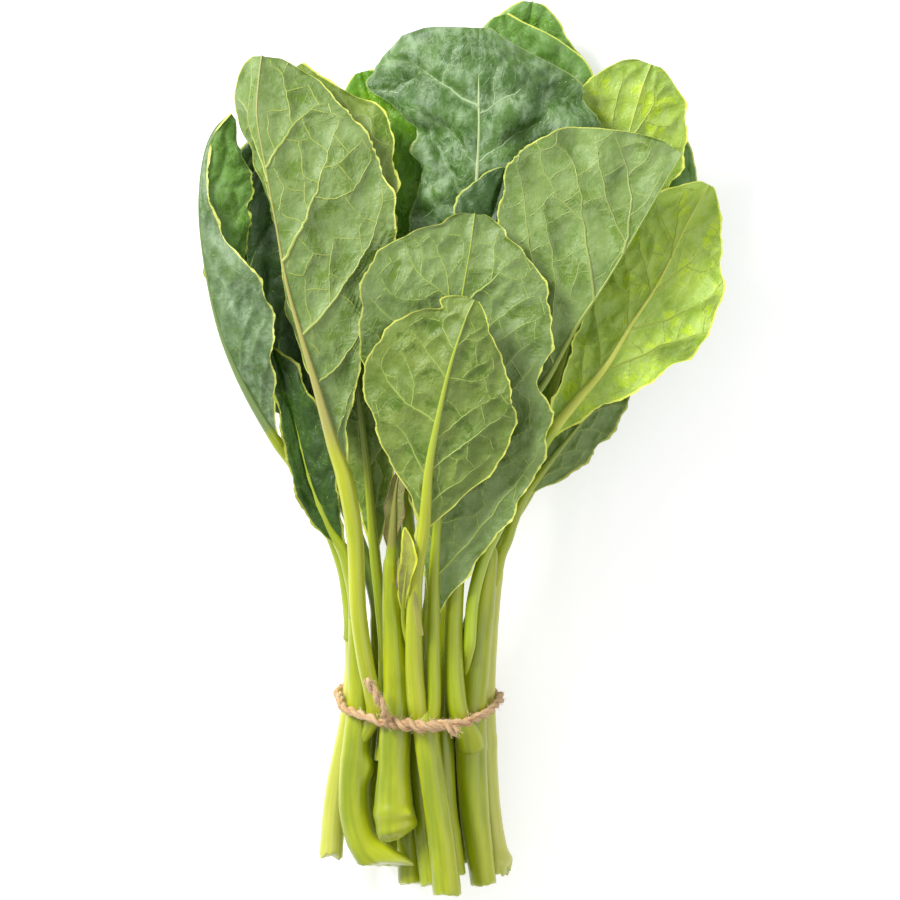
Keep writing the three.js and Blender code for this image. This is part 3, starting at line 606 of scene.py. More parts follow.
# path from the cut end to the top, girth spread evenly over its length, all in millimetres
# nodes are (share, swelling, scar strength); slant and flare shape the cut end, torn roughens it, and roundEnd
# is how far it takes to reach its full girth
# lumps are (share, place round from the right in turns, height, half-length, half-width in turns)
stalks = {
    "stalk_front": {
        "path": [[-4.4, -168.5, 38], [-7, -145, 39.5], [-11, -118, 40.5], [-12.7, -104, 41],
            [-13, -97.2, 41.5]], "girth": [5.4, 5.2, 4.9, 4.8, 5.0], "nodes": [(0.97, 0.05, 0.0)],
        "slant": -0.12, "torn": 0.3},
    "stalk_centre_left": {
        "path": [[-24.7, -148, 34], [-24.7, -139, 34.5], [-24.7, -125, 35], [-24.2, -108, 36.5],
            [-23.5, -92, 38], [-24.5, -72, 42], [-26, -45, 45]],
        "girth": [6.3, 6.9, 6.0, 5.9, 5.0, 4.5, 3.9, 2.9], "nodes": [(0.1, 0.1, 0.2), (0.62, 0.03, 0.0)],
        "torn": 0.5, "roundEnd": 5.0, "slant": 0.3,
        "lumps": [(0.055, 0.03, 2.4, 3.2, 0.1), (0.098, 0.13, 2.0, 1.2, 0.03), (0.03, 0.3, 0.9, 2.0, 0.16)]},
    "stalk_left_toe": {
        "path": [[-29.8, -157, 29.2], [-35.6, -150.5, 27], [-38.8, -141, 25.8], [-39.9, -130, 26],
            [-38.7, -110, 27.5], [-37.5, -95, 28], [-38, -70, 30], [-39, -58, 31]],
        "girth": [5.6, 5.9, 5.8, 5.2, 4.9, 4.3, 3.4], "nodes": [(0.42, 0.04, 0.0)], "torn": 0.7,
        "lumps": [(0.39, 0.08, 2.2, 4.5, 0.07)], "slant": -0.8, "flare": [1.75, 0.55]},
    "stalk_left_outer": {
        "path": [[-48.6, -154, 14], [-46.6, -130, 15], [-41.2, -100, 17], [-40, -80, 20], [-41, -66, 24]],
        "girth": [4.5, 4.2, 3.9, 3.5, 3.0], "nodes": [(0.7, 0.04, 0.0)], "torn": 1.1, "look": "outer"},
    "stalk_right": {
        "path": [[9.4, -164.8, 24.5], [6.2, -140, 27], [4.9, -120, 29], [4.9, -100, 30.5], [6.5, -78, 33],
            [9.2, -55, 36], [12.4, -35, 37]], "girth": [4.9, 5.5, 5.8, 5.6, 5.5, 4.6, 3.0],
        "nodes": [(0.41, 0.05, 0.5), (0.8, 0.03, 0.0)], "torn": 0.3},
    "stalk_right_outer": {
        "path": [[14.8, -160, 15], [11.4, -130, 18], [10.2, -100, 21.5], [11, -75, 24.2], [12.6, -55, 27.6],
            [14.4, -42, 30]], "girth": [4.3, 3.9, 3.9, 3.5, 3.4, 3.2],
        "nodes": [(0.035, 0.3, 0.5), (0.42, 0.06, 0.3)], "torn": 1.4, "look": "outer"},
    "stalk_lower_centre": {
        "path": [[-18.2, -164.5, 22], [-19, -140, 21], [-21, -105, 20.5], [-20, -80, 22], [-19, -60, 26]],
        "girth": [4.8, 4.8, 4.4, 4.0, 3.3], "nodes": [(0.25, 0.05, 0.2)], "torn": 0.3},
    "stalk_behind_front": {
        "path": [[-10.5, -165, 29], [-13.4, -140, 28.5], [-15.9, -105, 29.5], [-14.2, -80, 31],
            [-11, -58, 34]], "girth": [4.1, 4.1, 4.1, 3.8, 3.1], "nodes": [(0.6, 0.05, 0.0)], "torn": 0.4},
    "stalk_centre_right": {
        "path": [[-1.5, -161, 28], [-5, -135, 29.5], [-5.8, -105, 29], [-4.6, -80, 31], [-3.4, -55, 34]],
        "girth": [4.2, 4.2, 4.0, 3.7, 3.0], "nodes": [(0.15, 0.06, 0.2), (0.75, 0.04, 0.0)], "torn": 0.6},
    "stalk_inner_left": {
        "path": [[-31, -151, 13], [-31, -135, 15.5], [-30, -105, 19.5], [-30, -80, 21], [-31, -60, 24]],
        "girth": [4.0, 4.0, 4.1, 3.6, 3.0], "nodes": [(0.5, 0.05, 0.2)], "torn": 0.9},
    "stalk_slim": {
        "path": [[-29.5, -118, 27], [-27.5, -100, 28], [-27.8, -88, 29.5], [-28, -75, 31]],
        "girth": [2.6, 2.9, 2.8, 2.5], "nodes": [(0.5, 0.05, 0.0)], "torn": 0.2},
    "stalk_inner_centre": {
        "path": [[-9, -158, 17], [-10, -135, 18.5], [-10.5, -105, 20], [-8, -80, 22], [-4, -60, 25]],
        "girth": [4.6, 4.6, 4.5, 4.0, 3.2], "nodes": [(0.4, 0.05, 0.2)], "torn": 0.5},
    "stalk_inner_right": {
        "path": [[5, -156, 16], [1.2, -135, 18], [-0.2, -105, 20.3], [2.6, -80, 22.3], [5.6, -60, 24.8]],
        "girth": [4.3, 4.3, 4.2, 3.7, 3.1], "nodes": [(0.3, 0.05, 0.2)], "torn": 0.5},
    "stalk_bottom_left": {
        "path": [[-24.5, -158, 4], [-23.5, -144, 4], [-22.5, -130, 4.5], [-20.5, -105, 8.5],
            [-20, -84, 8.8], [-22, -68, 10], [-23, -55, 12]], "girth": [4.7, 4.7, 4.5, 3.9, 3.0],
        "nodes": [(0.45, 0.04, 0.2)], "torn": 0.4},
    "stalk_bottom_right": {
        "path": [[-4, -159, 4], [-4.8, -145, 4], [-5.8, -131, 4.5], [-8.5, -105, 8.5], [-6.5, -84, 8.8],
            [-4, -68, 10], [-2, -55, 12]], "girth": [4.7, 4.7, 4.5, 3.9, 3.0], "nodes": [(0.55, 0.04, 0.2)],
        "torn": 0.4},
}
stalkDefaults = {"look": "green", "slant": 0, "flare": [1, 1], "torn": 0.15, "roundEnd": 0, "lumps": []}
stalkBuild = {
    "sides": 36, "ringGap": 1.1, "ribs": 7, "ribDepth": 0.012, "rough": 0.07, "cutReach": 0.14, "domeLength": 1.9,
    "cutRings": [(0.0, 0.02, 2.0), (0.02, 0.5, 1.7), (0.06, 0.86, 1.2), (0.16, 0.96, 0.9)],   # at, size, cut
    "domeTurns": [10, 22, 34, 46, 58, 70, 80, 89],                # degrees
    "bodyFrom": 0.5, "paleEnd": 0.7, "paleLength": 0.8,           # behind the cut, millimetres
    "nodeTight": 2.6, "nodeWide": 8, "scarBehind": 1.0, "scarWidth": 0.8,
    "innerFlare": 0.15, "tearLength": 3.5, "tears": [(3, 1.0), (7, 0.7), (13, 0.4)],          # waves, depth
}


def findShift():
    # the frame's origin is under the middle of the bunch; the tables here start from another one
    stalk = stalks["stalk_front"]
    route = Route(stalk["path"])
    shares = np.linspace(0, 1, 2 * len(stalk["path"]) + 1)
    at, _, side, up = route.frameAt(shares)
    girth = along(stalk["girth"], shares)
    corners = []
    for k in range(8):
        angle = (k + 0.5) * math.pi / 4
        corners.append(at + (side * math.cos(angle) + up * math.sin(angle)) * girth[:, None])
    corners = np.vstack(corners)
    low, high = (np.array(c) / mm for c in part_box("stalk_front"))
    return ((low + high) - (corners.min(0) + corners.max(0))) / 2


shift = findShift()
print("shift of the tables, mm:", shift.round(3))


def bend(mesh, move):
    # moves every vertex of a mesh; move works in table millimetres
    spots = np.empty(len(mesh.vertices) * 3, np.float32)
    mesh.vertices.foreach_get("co", spots)
    moved = move(spots.reshape(-1, 3).astype(float) / mm) * mm
    mesh.vertices.foreach_set("co", moved.astype(np.float32).ravel())
    mesh.update()


leastHeight = 0.02


def placeInFrame(mesh):
    # nothing may dip below the surface that the bunch lies on
    def move(spots):
        moved = spots + shift
        moved[:, 2] = np.maximum(moved[:, 2], leastHeight)
        return moved
    bend(mesh, move)


def readAttribute(mesh, name):
    layer = mesh.attributes[name]
    values = np.empty(len(layer.data), np.float32)
    layer.data.foreach_get("value", values)
    return values


def stalkSkin(stalk, route):
    # shares of the length with the girth, the cut mark and the scar mark at each
    build = stalkBuild
    length = route.length
    dome = build["domeLength"] * stalk["girth"][-1]
    rings = int((length - dome) / build["ringGap"])
    # the cut face is a few tight rings, the top a long dome that a leaf stem grows out of
    cutAt, cutShape, cutMark = np.array(build["cutRings"]).T
    body = np.linspace(build["bodyFrom"] / length, 1 - dome / length, rings)
    domeTurn = np.radians(build["domeTurns"])
    share = np.concatenate([cutAt / length, body, 1 - (1 - np.sin(domeTurn)) * dome / length])
    shape = np.concatenate([cutShape, np.ones(rings), np.cos(domeTurn)])
    paleEnd = build["paleEnd"] * np.exp(-body * length / build["paleLength"])
    cut = np.concatenate([cutMark, paleEnd, np.zeros(len(domeTurn))])
    scar = np.zeros(len(share))
    if stalk["roundEnd"]:
        inward = np.clip(1 - share * length / stalk["roundEnd"], 0, 1)
        shape = shape * np.sqrt(np.clip(1 - inward ** 2, 0.04, 1))
    swell = np.ones(len(share))
    for spot, height, mark in stalk["nodes"]:
        distance = (share - spot) * length
        swell += (height * np.exp(-(distance / build["nodeTight"]) ** 2)
                  + 0.5 * height * np.exp(-(distance / build["nodeWide"]) ** 2))
        behind = (distance + build["scarBehind"]) / build["scarWidth"]
        scar = np.maximum(scar, mark * np.exp(-behind ** 2))
    return share, along(stalk["girth"], share) * shape * swell, cut, scar


def makeStalk(name, stalk, seed):
    random = np.random.default_rng(seed)
    stalk = {**stalkDefaults, **stalk}
    route = Route(stalk["path"])
    length = route.length
    share, girth, cut, scar = stalkSkin(stalk, route)
    at, _, _, up = route.frameAt(share)
    mesh = sweepStem(name, at, up, girth, share * length, stalkBuild, stemMaterial(stalk["look"], "green"),
                     cut=cut, scar=scar)
    outerFlare, upperFlare = stalk["flare"]
    phases = random.uniform(0, math.tau, len(stalkBuild["tears"]))
    reached = readAttribute(mesh, "reachAlong") * 10 / length

    def shapeEnds(spots):
        at, ahead, side, up = route.frameAt(reached)
        arm = spots - at
        near = np.clip(1 - reached / stalkBuild["cutReach"], 0, None) ** 2
        across = (arm * side).sum(1)
        across = across * (1 + (outerFlare - 1) * near * np.where(across > 0, 1, stalkBuild["innerFlare"]))
        above = (arm * up).sum(1) * (1 + (upperFlare - 1) * near)
        turn = np.arctan2(above, across)
        far = np.hypot(across, above)
        torn = sum(depth * np.sin(waves * turn + phase)
                   for (waves, depth), phase in zip(stalkBuild["tears"], phases))
        end = np.exp(-(reached * length / stalkBuild["tearLength"]) ** 2)
        lengthwise = ((arm * ahead).sum(1) + stalk["slant"] * near * across
                      + stalk["torn"] * torn * end * far / 5)
        push = np.zeros(len(spots))
        for spot, place, height, reachOut, wide in stalk["lumps"]:
            apart = np.abs((turn / math.tau - place + 0.5) % 1 - 0.5)
            push += height * np.exp(-((reached - spot) * length / reachOut) ** 2 - (apart / wide) ** 2)
        push *= np.minimum(1, far / 3)
        across, above = across + push * np.cos(turn), above + push * np.sin(turn)
        return at + side * across[:, None] + up * above[:, None] + ahead * lengthwise[:, None]

    bend(mesh, shapeEnds)
    placeInFrame(mesh)
    settle(joinPiece(name + "_skin", [mesh]), name)


for index, (name, stalk) in enumerate(stalks.items()):
    makeStalk(name, stalk, index + 60)
print("stalks made:", len(stalks))


# ---- leaves

# path up the stem and along the midrib to the tip, the blade from point bladeFrom on
# root is where the stem starts inside the stalk, and its girth there; stem is its girth at foot and blade
# left and right are the half-widths; fold and curl in degrees; ruffle is height and number of waves
# dents are (half, place, half-length, depth); rounding is where the tip starts to close
# roll and lobes are shares of the usual waviness
# up says which face of the blade looks along +Z; looks are the under and upper face, tint makes both lighter,
# partly the leaf's own tone and partly painted light and painted shade
# veins is (how many, how they bunch at the base, and at the edge); cell is the size of the net, loops its links
# stemLook is (stem colours, midrib colour); ribPower thins the midrib, which has its own colour from ribFrom
leafDefaults = {
    "up": "upper", "ruffle": [0.8, 3], "rounding": 0.82, "lobes": 1.0, "roll": 1.0, "dents": [], "toneAndPaintedLight": 0.0,
    "cell": 1.0, "loops": 0.85, "veinGirth": 1.0, "veinLean": 0.72, "ribPower": 1.7, "ribFrom": 0.5,
    "shoots": [], "young": False,
}
leaves = {
    "leaf_front_small": {
        "path": [[-15.9, -96.3, 42.9], [-17, -78, 47], [-16.5, -50, 55], [-13.3, -30, 60.5],
            [-11.5, -8, 65.5], [-8.7, 8, 69], [-3.8, 30, 73], [2.3, 49, 74.5], [6, 57, 74]], "bladeFrom": 3,
        "stem": [3.6, 2.4], "root": [[-14.4, -107, 40.6], 3.3],
        "left": [1.5, 6, 14, 22, 29, 31.5, 27.5, 18.5, 8], "right": [1.5, 13, 23, 28, 29, 26, 20.5, 12, 5],
        "fold": [-6, -6], "curl": [-4, -6], "rounding": 0.94, "dents": [(0, 0.915, 0.018, 0.3)],
        "up": "under", "looks": ["midUnder", "freshUpper"], "slot": "leaf_pale", "toneAndPaintedLight": 0.02,
        "veins": [6, 1.2, 0.62], "loops": 0.6, "veinGirth": 0.85, "stemLook": ("pale", "green"),
        "ribPower": 1.35, "ribFrom": 0.8},
    "leaf_front_large": {
        "path": [[-9.6, -96.3, 42.2], [-9.6, -80, 45], [-9.6, -64, 47.5], [-9.2, -42, 50],
            [-6.8, -11, 54.5], [-4.2, 11, 58], [-1.5, 34, 60.5], [1, 57, 61.5], [4.2, 76, 60.5],
            [6, 90, 58.5]], "bladeFrom": 2, "stem": [2.7, 2.5], "root": [[-11.2, -107, 40.6], 3.1],
        "left": [1.5, 4, 9, 17, 27, 35, 38, 34, 20], "right": [1.5, 14, 26, 35, 39, 35, 35, 29, 18],
        "fold": [3, 0], "curl": [4, 2], "lobes": 1.3, "roll": 1.3,
        "dents": [(1, 0.6, 0.03, 0.12), (1, 0.948, 0.012, 0.16), (0, 0.962, 0.012, 0.2)], "up": "under",
        "looks": ["greyUnder", "freshUpper"], "slot": "leaf_pale", "toneAndPaintedLight": -0.03, "veins": [6, 1.35, 0.62],
        "loops": 0.6, "veinGirth": 0.88, "stemLook": ("green", "green"), "ribPower": 1.8, "ribFrom": 0.8},
    "leaf_left_tall": {
        "path": [[-32.3, -101, 34.6], [-33, -92, 37], [-35.5, -80, 41], [-38.2, -60, 45],
            [-39.3, -34, 49.5], [-43, -12, 53], [-48, 3, 55.5], [-54, 24, 58], [-60, 44, 59.5],
            [-65, 62, 60], [-69, 84, 59.5], [-73, 106, 58], [-76.4, 126, 55.5], [-75.6, 142, 52],
            [-74.5, 150, 50.5]], "bladeFrom": 5, "stem": [3.0, 3.3], "root": [[-37.6, -112.5, 28.8], 1.4],
        "left": [1.5, 8, 15, 20, 23, 24, 24, 22, 17], "right": [1.5, 8, 19, 32, 43, 45.5, 41, 33.5, 30],
        "fold": [[-80, -84, -86, -86, -85, -72, -42], -4], "curl": [-6, -8], "rounding": 0.86, "up": "under",
        "looks": ["greyUnder", "deepUpper"], "slot": "leaf_pale", "toneAndPaintedLight": 0.03, "veins": [5, 1.4, 0.6],
        "cell": 1.3, "veinLean": 0.5, "stemLook": ("pale", "rosy"), "ribPower": 3.6, "ribFrom": 0.3},
    "leaf_left_rolled": {
        "path": [[-41.2, -64.5, 24.3], [-44, -45, 24], [-52, -24, 25], [-61, -8, 27.5], [-69, 3, 31],
            [-80, 21, 35], [-88, 38, 38], [-93, 54, 40], [-97, 75, 41], [-98.5, 93, 41], [-97, 110, 37],
            [-93, 121, 34], [-86, 128, 32]], "bladeFrom": 4, "stem": [2.4, 2.2],
        "root": [[-41, -73, 22.3], 3.1], "left": [1.5, 7, 11, 14, 16, 19, 21, 19, 13],
        "right": [1.5, 10, 18, 24, 20, 9, 4, 2, 1.5], "fold": [-158, 48], "curl": [-4, -45],
        "ruffle": [0.7, 4], "lobes": 1.2, "up": "under", "looks": ["blueUnder", "freshUpper"],
        "slot": "leaf_pale", "veins": [6, 1.4, 0.66], "veinGirth": 0.6, "stemLook": ("green", "blade"),
        "ribPower": 2.6, "ribFrom": 0.12},
    "leaf_left_inner": {
        "path": [[-31.2, -58.5, 24.2], [-36, -40, 24], [-43, -22, 23], [-49, -8, 22], [-60, 15, 21.5],
            [-70, 36, 21.5], [-78, 62, 22], [-81, 80, 22.5], [-80, 97, 22.5], [-76, 112, 21.5],
            [-73, 119, 21]], "bladeFrom": 3, "stem": [2.6, 2.3], "root": [[-30.8, -68, 22.8], 3.05],
        "left": [1.5, 6, 10, 13, 15, 16, 15, 12, 8], "right": [1.5, 7, 13, 17, 18, 17, 15, 12, 8],
        "fold": [8, 6], "curl": [5, 5], "looks": ["greyUnder", "deepUpper"], "slot": "leaf_dark",
        "toneAndPaintedLight": -0.05, "veins": [6, 1.4, 0.66], "stemLook": ("dark", "grey"), "ribPower": 2.0},
    "leaf_left_low": {
        "path": [[-39.2, -56.5, 31.3], [-41, -48, 31.5], [-44, -38, 32], [-50, -28, 33], [-57, -10, 34],
            [-62, 10, 35], [-66.5, 25, 36], [-71, 39, 36]], "bladeFrom": 2, "stem": [2.9, 2.4],
        "root": [[-38.6, -65, 30.5], 3.5], "left": [1.5, 4, 6, 7, 6, 6, 5, 4, 3],
        "right": [1.5, 6, 10, 12, 13, 12, 10, 8, 5], "fold": [10, 22], "curl": [8, 10], "ruffle": [0.6, 4],
        "looks": ["midUnder", "brightUpper"], "slot": "leaf_bright", "toneAndPaintedLight": -0.36, "veins": [5, 1.4, 0.66],
        "stemLook": ("green", "green"), "ribPower": 2.0},
    "leaf_top_left": {
        "path": [[-28.2, -73, 31.3], [-30, -56, 33], [-32, -38, 35], [-35, -5, 40], [-40, 38, 44.5],
            [-43, 72, 47.5], [-46, 103, 48], [-52.5, 130, 43], [-60.5, 147, 39]], "bladeFrom": 2,
        "stem": [2.3, 2.1], "root": [[-28, -82, 30.2], 2.6], "left": [1.5, 6, 9, 11, 13, 15, 17, 15, 9],
        "right": [1.5, 6, 9, 11.5, 13, 14, 15, 16, 17, 18.5, 20, 21, 22, 24, 21, 9, 5], "fold": [-3, -4],
        "curl": [-4, -6], "lobes": 1.2, "up": "under", "looks": ["midUnder", "freshUpper"],
        "slot": "leaf_pale", "toneAndPaintedLight": 0.26, "veins": [7, 1.35, 0.66], "stemLook": ("green", "grey"),
        "ribPower": 2.2},
    "leaf_bright_top": {
        "path": [[-18.8, -58.3, 26.4], [-19, -34, 27.5], [-22, 8, 28.5], [-24, 45, 29], [-26, 80, 28.5],
            [-29, 110, 26], [-33, 130, 23], [-37, 144, 21]], "bladeFrom": 2, "stem": [2.8, 2.3],
        "root": [[-19.3, -68, 24.4], 3.4], "left": [1.5, 7, 12, 16, 19, 21, 21, 18, 12],
        "right": [1.5, 6, 9, 11, 12, 13, 16, 18, 15], "fold": [2, 2], "curl": [3, 3],
        "looks": ["midUnder", "paintedBacklitUpper"], "slot": "leaf_bright", "veins": [7, 1.35, 0.66],
        "stemLook": ("green", "green"), "ribPower": 2.0},
    "leaf_back_left": {
        "path": [[-23.1, -53.4, 12.2], [-22.5, -30, 12.5], [-22, -5, 12], [-22, 30, 11.6],
            [-22.5, 65, 11.6], [-22, 95, 12], [-21, 118, 13], [-20, 133, 14.5]], "bladeFrom": 2,
        "stem": [2.6, 2.3], "root": [[-22.6, -62, 10.9], 3.1], "left": [1.5, 11, 20, 26, 28, 27, 23, 18, 12],
        "right": [1.5, 7, 13, 17, 19, 19, 17, 14, 9], "fold": [-16, 4], "curl": [-14, 2], "ruffle": [0.7, 3],
        "looks": ["greyUnder", "deepUpper"], "slot": "leaf_dark", "toneAndPaintedLight": -0.1, "veins": [7, 1.35, 0.66],
        "stemLook": ("dark", "grey"), "ribPower": 2.0},
    "leaf_top_dark": {
        "path": [[-1.8, -53.3, 35.3], [0, -40, 36], [3, -20, 37], [4, 0, 38], [4, 20, 39.5], [4, 49, 42],
            [5, 70, 43.5], [6, 87, 45], [7, 105, 46], [7.5, 122, 46], [7.5, 134, 45], [7.5, 147, 43.5],
            [7.5, 160.5, 41]], "bladeFrom": 4, "stem": [2.7, 2.6], "root": [[-2.6, -63, 34], 3.3],
        "left": [1.5, 9, 17, 24, 25, 24, 28, 46, 31], "right": [1.5, 12, 24, 34, 41, 46, 45, 34, 4],
        "fold": [-7, -4], "curl": [-30, -8], "ruffle": [1.0, 3], "rounding": 0.99, "lobes": 1.5, "roll": 2.4,
        "looks": ["greyUnder", "darkUpper"], "slot": "leaf_dark", "toneAndPaintedLight": 0.03, "veins": [6, 1.3, 0.62],
        "cell": 1.35, "loops": 0.5, "veinGirth": 1.05, "stemLook": ("dark", "white"), "ribPower": 1.3,
        "ribFrom": 0.2},
    "leaf_top_inner": {
        "path": [[-10.6, -56.4, 34.3], [-10, -40, 39], [-8, -15, 43.5], [-4, 10, 47], [0, 35, 49.5],
            [5, 60, 51], [10, 80, 51.5], [15, 96, 51], [18, 107, 50]], "bladeFrom": 4, "stem": [2.5, 2.0],
        "root": [[-12, -66, 32.8], 3.2], "left": [1.5, 4, 8, 11, 13, 14, 14, 12, 8],
        "right": [1.5, 4, 7, 9, 10, 10, 9, 8, 6], "fold": [4, -2], "curl": [4, -4], "ruffle": [0.6, 3],
        "looks": ["midUnder", "deepUpper"], "slot": "leaf_dark", "toneAndPaintedLight": -0.05, "veins": [5, 1.35, 0.66],
        "stemLook": ("green", "green"), "ribPower": 2.0},
    "leaf_right_upper": {
        "path": [[0.9, -111, 39.4], [-0.6, -97, 39.6], [-1.8, -85, 40.6], [-2, -72, 41.8], [-1.6, -57, 43],
            [-0.2, -42, 44.5], [3.4, -26, 45.8], [12, -7, 47.5], [25, 15, 49.5], [34, 28, 51], [44, 46, 53],
            [54, 61, 54.5], [65, 79, 55], [76, 98, 54], [85, 113, 52]], "bladeFrom": 7, "stem": [3.7, 2.8],
        "root": [[4.8, -113, 30.2], 6.1],
        "footPath": [[4.8, -113, 30.2], [3.5, -108.2, 33.6], [1.2, -103, 37.4]],
        "left": [1.5, 8, 18, 30, 41, 50, 54, 47, 36], "right": [1.5, 6, 10, 12, 13, 13, 12, 10, 7],
        "fold": [3, -130], "curl": [0, -8], "roll": 1.3, "up": "under", "looks": ["greyUnder", "freshUpper"],
        "slot": "leaf_pale", "toneAndPaintedLight": 0.18, "veins": [5, 1.4, 0.62], "cell": 1.2,
        "stemLook": ("green", "grey"), "ribPower": 2.8, "ribFrom": 0.3},
    "leaf_right_outer": {
        "path": [[3.9, -74, 41.7], [5.3, -57, 42.7], [9, -42, 43.6], [14, -31, 43], [20.5, -18, 41.5],
            [33, 4, 39.5], [45, 19, 40], [56, 32, 40.5], [65, 47, 40.5], [73, 59, 40], [79, 70, 39],
            [86, 85, 37], [95, 101, 34]], "bladeFrom": 5, "stem": [2.3, 2.4], "root": [[2.2, -86, 35.2], 0.9],
        "left": [1.5, 7, 13, 17, 20, 21, 20, 17, 12], "right": [1.5, 6, 11, 19, 26, 25, 20, 14, 9],
        "fold": [-4, -3], "curl": [-5, -5], "lobes": 0.9, "roll": 1.6, "up": "under",
        "looks": ["limeUnder", "freshUpper"], "slot": "leaf_pale", "toneAndPaintedLight": 0.42, "veins": [6, 1.35, 0.62],
        "stemLook": ("fresh", "lime"), "ribPower": 2.2, "ribFrom": 0.15},
    "leaf_right_low": {
        "path": [[15.2, -40.4, 31.2], [18, -34, 31.6], [20.6, -26.5, 31.6], [25, -17, 31.3], [35, -4, 31],
            [46, 10, 30.5], [57, 25, 29], [64, 36, 27], [67, 42, 26]], "bladeFrom": 3, "stem": [2.5, 2.0],
        "root": [[12.4, -52, 28.4], 3.2], "left": [1.5, 4, 7, 10, 12, 12, 11, 9, 6],
        "right": [1.5, 6, 9, 11, 11.5, 11, 9, 7, 5], "fold": [0, -4], "curl": [0, -6], "ruffle": [0.6, 3],
        "up": "under", "looks": ["greyUnder", "freshUpper"], "slot": "leaf_dark", "veins": [5, 1.35, 0.66],
        "stemLook": ("green", "grey"), "ribPower": 2.2},
    "leaf_back_top": {
        "path": [[-1.8, -53.4, 12], [0, -35, 11], [3, -15, 9], [8, 20, 4.5], [13, 60, 1.4], [18, 95, 1.2],
            [22, 125, 4], [25, 150, 9], [28, 171, 14]], "bladeFrom": 2, "stem": [2.6, 2.3],
        "root": [[-2.8, -62, 10.9], 3.1], "left": [1.5, 11, 20, 26, 29, 29, 27, 24, 17],
        "right": [1.5, 11, 20, 26, 29, 29, 27, 24, 17], "fold": [2, 2], "curl": [2, 2], "ruffle": [0.7, 3],
        "looks": ["greyUnder", "freshUpper"], "slot": "leaf_dark", "toneAndPaintedLight": 0.2, "veins": [8, 1.35, 0.66],
        "stemLook": ("green", "green"), "ribPower": 2.0},
    "leaf_top_centre": {
        "path": [[-3.7, -58.3, 25.2], [2, -40, 24.5], [8, -20, 23.5], [11, -5, 23], [15, 30, 22],
            [18, 70, 21.5], [20, 105, 22], [21.5, 135, 23], [20.5, 152, 23.5], [17, 166, 24]], "bladeFrom": 3,
        "stem": [2.7, 2.2], "root": [[-5.4, -67, 23.9], 3.3], "left": [1.5, 7, 12, 16, 18, 20, 23, 27, 20],
        "right": [1.5, 9, 16, 21, 24, 26, 28, 28, 7], "fold": [2, 0], "curl": [2, 0], "ruffle": [0.7, 3],
        "looks": ["greyUnder", "freshUpper"], "slot": "leaf_dark", "toneAndPaintedLight": 0.14, "veins": [8, 1.35, 0.66],
        "stemLook": ("green", "green"), "ribPower": 1.8},
    "leaf_top_right": {
        "path": [[6.1, -58.4, 25.1], [8.6, -44, 22.6], [12.5, -29, 21.4], [18.5, -14, 22.3], [25, -2, 23],
            [33, 15, 23], [44, 50, 25], [54, 85, 29], [62, 112, 32], [69, 136, 32], [73, 147, 31]],
        "bladeFrom": 4, "stem": [2.6, 2.2], "root": [[4.8, -67, 23.9], 3.2],
        "left": [1.5, 5, 9, 12, 15, 19, 23, 24, 22], "right": [1.5, 6, 10, 13, 15, 19, 22, 22, 20],
        "fold": [0, -3], "curl": [0, -4], "ruffle": [0.7, 3], "lobes": 1.5, "up": "under",
        "looks": ["limeUnder", "freshUpper"], "slot": "leaf_pale", "toneAndPaintedLight": 0.18, "veins": [6, 1.35, 0.66],
        "stemLook": ("green", "lime"), "ribPower": 2.0},
    "leaf_back_right": {
        "path": [[13, -40.3, 26.4], [19, -29, 21.8], [30, -10, 15.5], [39, 15, 11], [50, 45, 7],
            [62, 72, 6.6], [73, 95, 9], [80, 110, 12], [84, 120, 13]], "bladeFrom": 3, "stem": [1.8, 1.9],
        "root": [[12.2, -50, 27.6], 2.2], "left": [1.5, 6, 11, 14, 15, 15, 13, 11, 8],
        "right": [1.5, 9, 17, 22, 24, 22, 19, 14, 9], "fold": [6, -10], "curl": [4, -8], "ruffle": [0.7, 3],
        "looks": ["greyUnder", "freshUpper"], "slot": "leaf_dark", "toneAndPaintedLight": 0.05, "veins": [6, 1.35, 0.66],
        "stemLook": ("green", "green"), "ribPower": 2.0},
    "young_leaf_dried": {
        "path": [[-25.9, -43.4, 45.4], [-25.5, -40, 46], [-25, -28, 48.5], [-24, -16, 50.5],
            [-22.5, -8, 51.5]], "bladeFrom": 1, "stem": [2.7, 2.3], "root": [[-25.8, -58, 43.8], 3.3],
        "left": [1.6, 3.0, 3.4, 3.9, 3.2, 2.2], "right": [1.6, 2.4, 3.2, 4.2, 3.6, 2.4], "fold": [20, 18],
        "curl": [12, 12], "ruffle": [0.3, 3], "lobes": 2.2, "up": "under",
        "looks": ["driedBoth", "driedBoth"], "slot": "leaf_dried", "veins": [4, 1.3, 0.7],
        "stemLook": ("green", "brown"), "ribPower": 1.1, "ribFrom": 0.35,
        "shoots": [{"path": [[-22.6, -56, 44], [-22, -48, 48.4], [-22.6, -40.5, 50.5]],
            "girth": [1.0, 1.9, 1.5, 0.6], "flat": 0.55, "look": ("purple", "brown")}], "young": True},
    "young_leaf_small": {
        "path": [[-20.6, -68, 47.6], [-21.2, -60, 52], [-20.6, -51, 58], [-19.4, -40, 61.6],
            [-20.6, -29, 62.5]], "bladeFrom": 1, "stem": [0.9, 0.8], "root": [[-17.6, -78, 46.6], 1.4],
        "left": [1, 2.4, 2.9, 2.8, 2.2, 1.2], "right": [1, 1.4, 2.6, 3.4, 2.6, 1.4], "fold": [10, 8],
        "curl": [8, 8], "ruffle": [0.3, 4], "lobes": 1.7, "up": "under", "looks": ["budBoth", "budBoth"],
        "slot": "leaf_bright", "veins": [4, 1.3, 0.7], "stemLook": ("green", "green"),
        "shoots": [{"path": [[-14.6, -70, 50.8], [-16.2, -61, 55.6], [-17, -53, 58.2]],
            "girth": [1.3, 1.4, 1.1, 0.5], "flat": 0.8, "look": ("spike", "brown")}], "young": True},
}

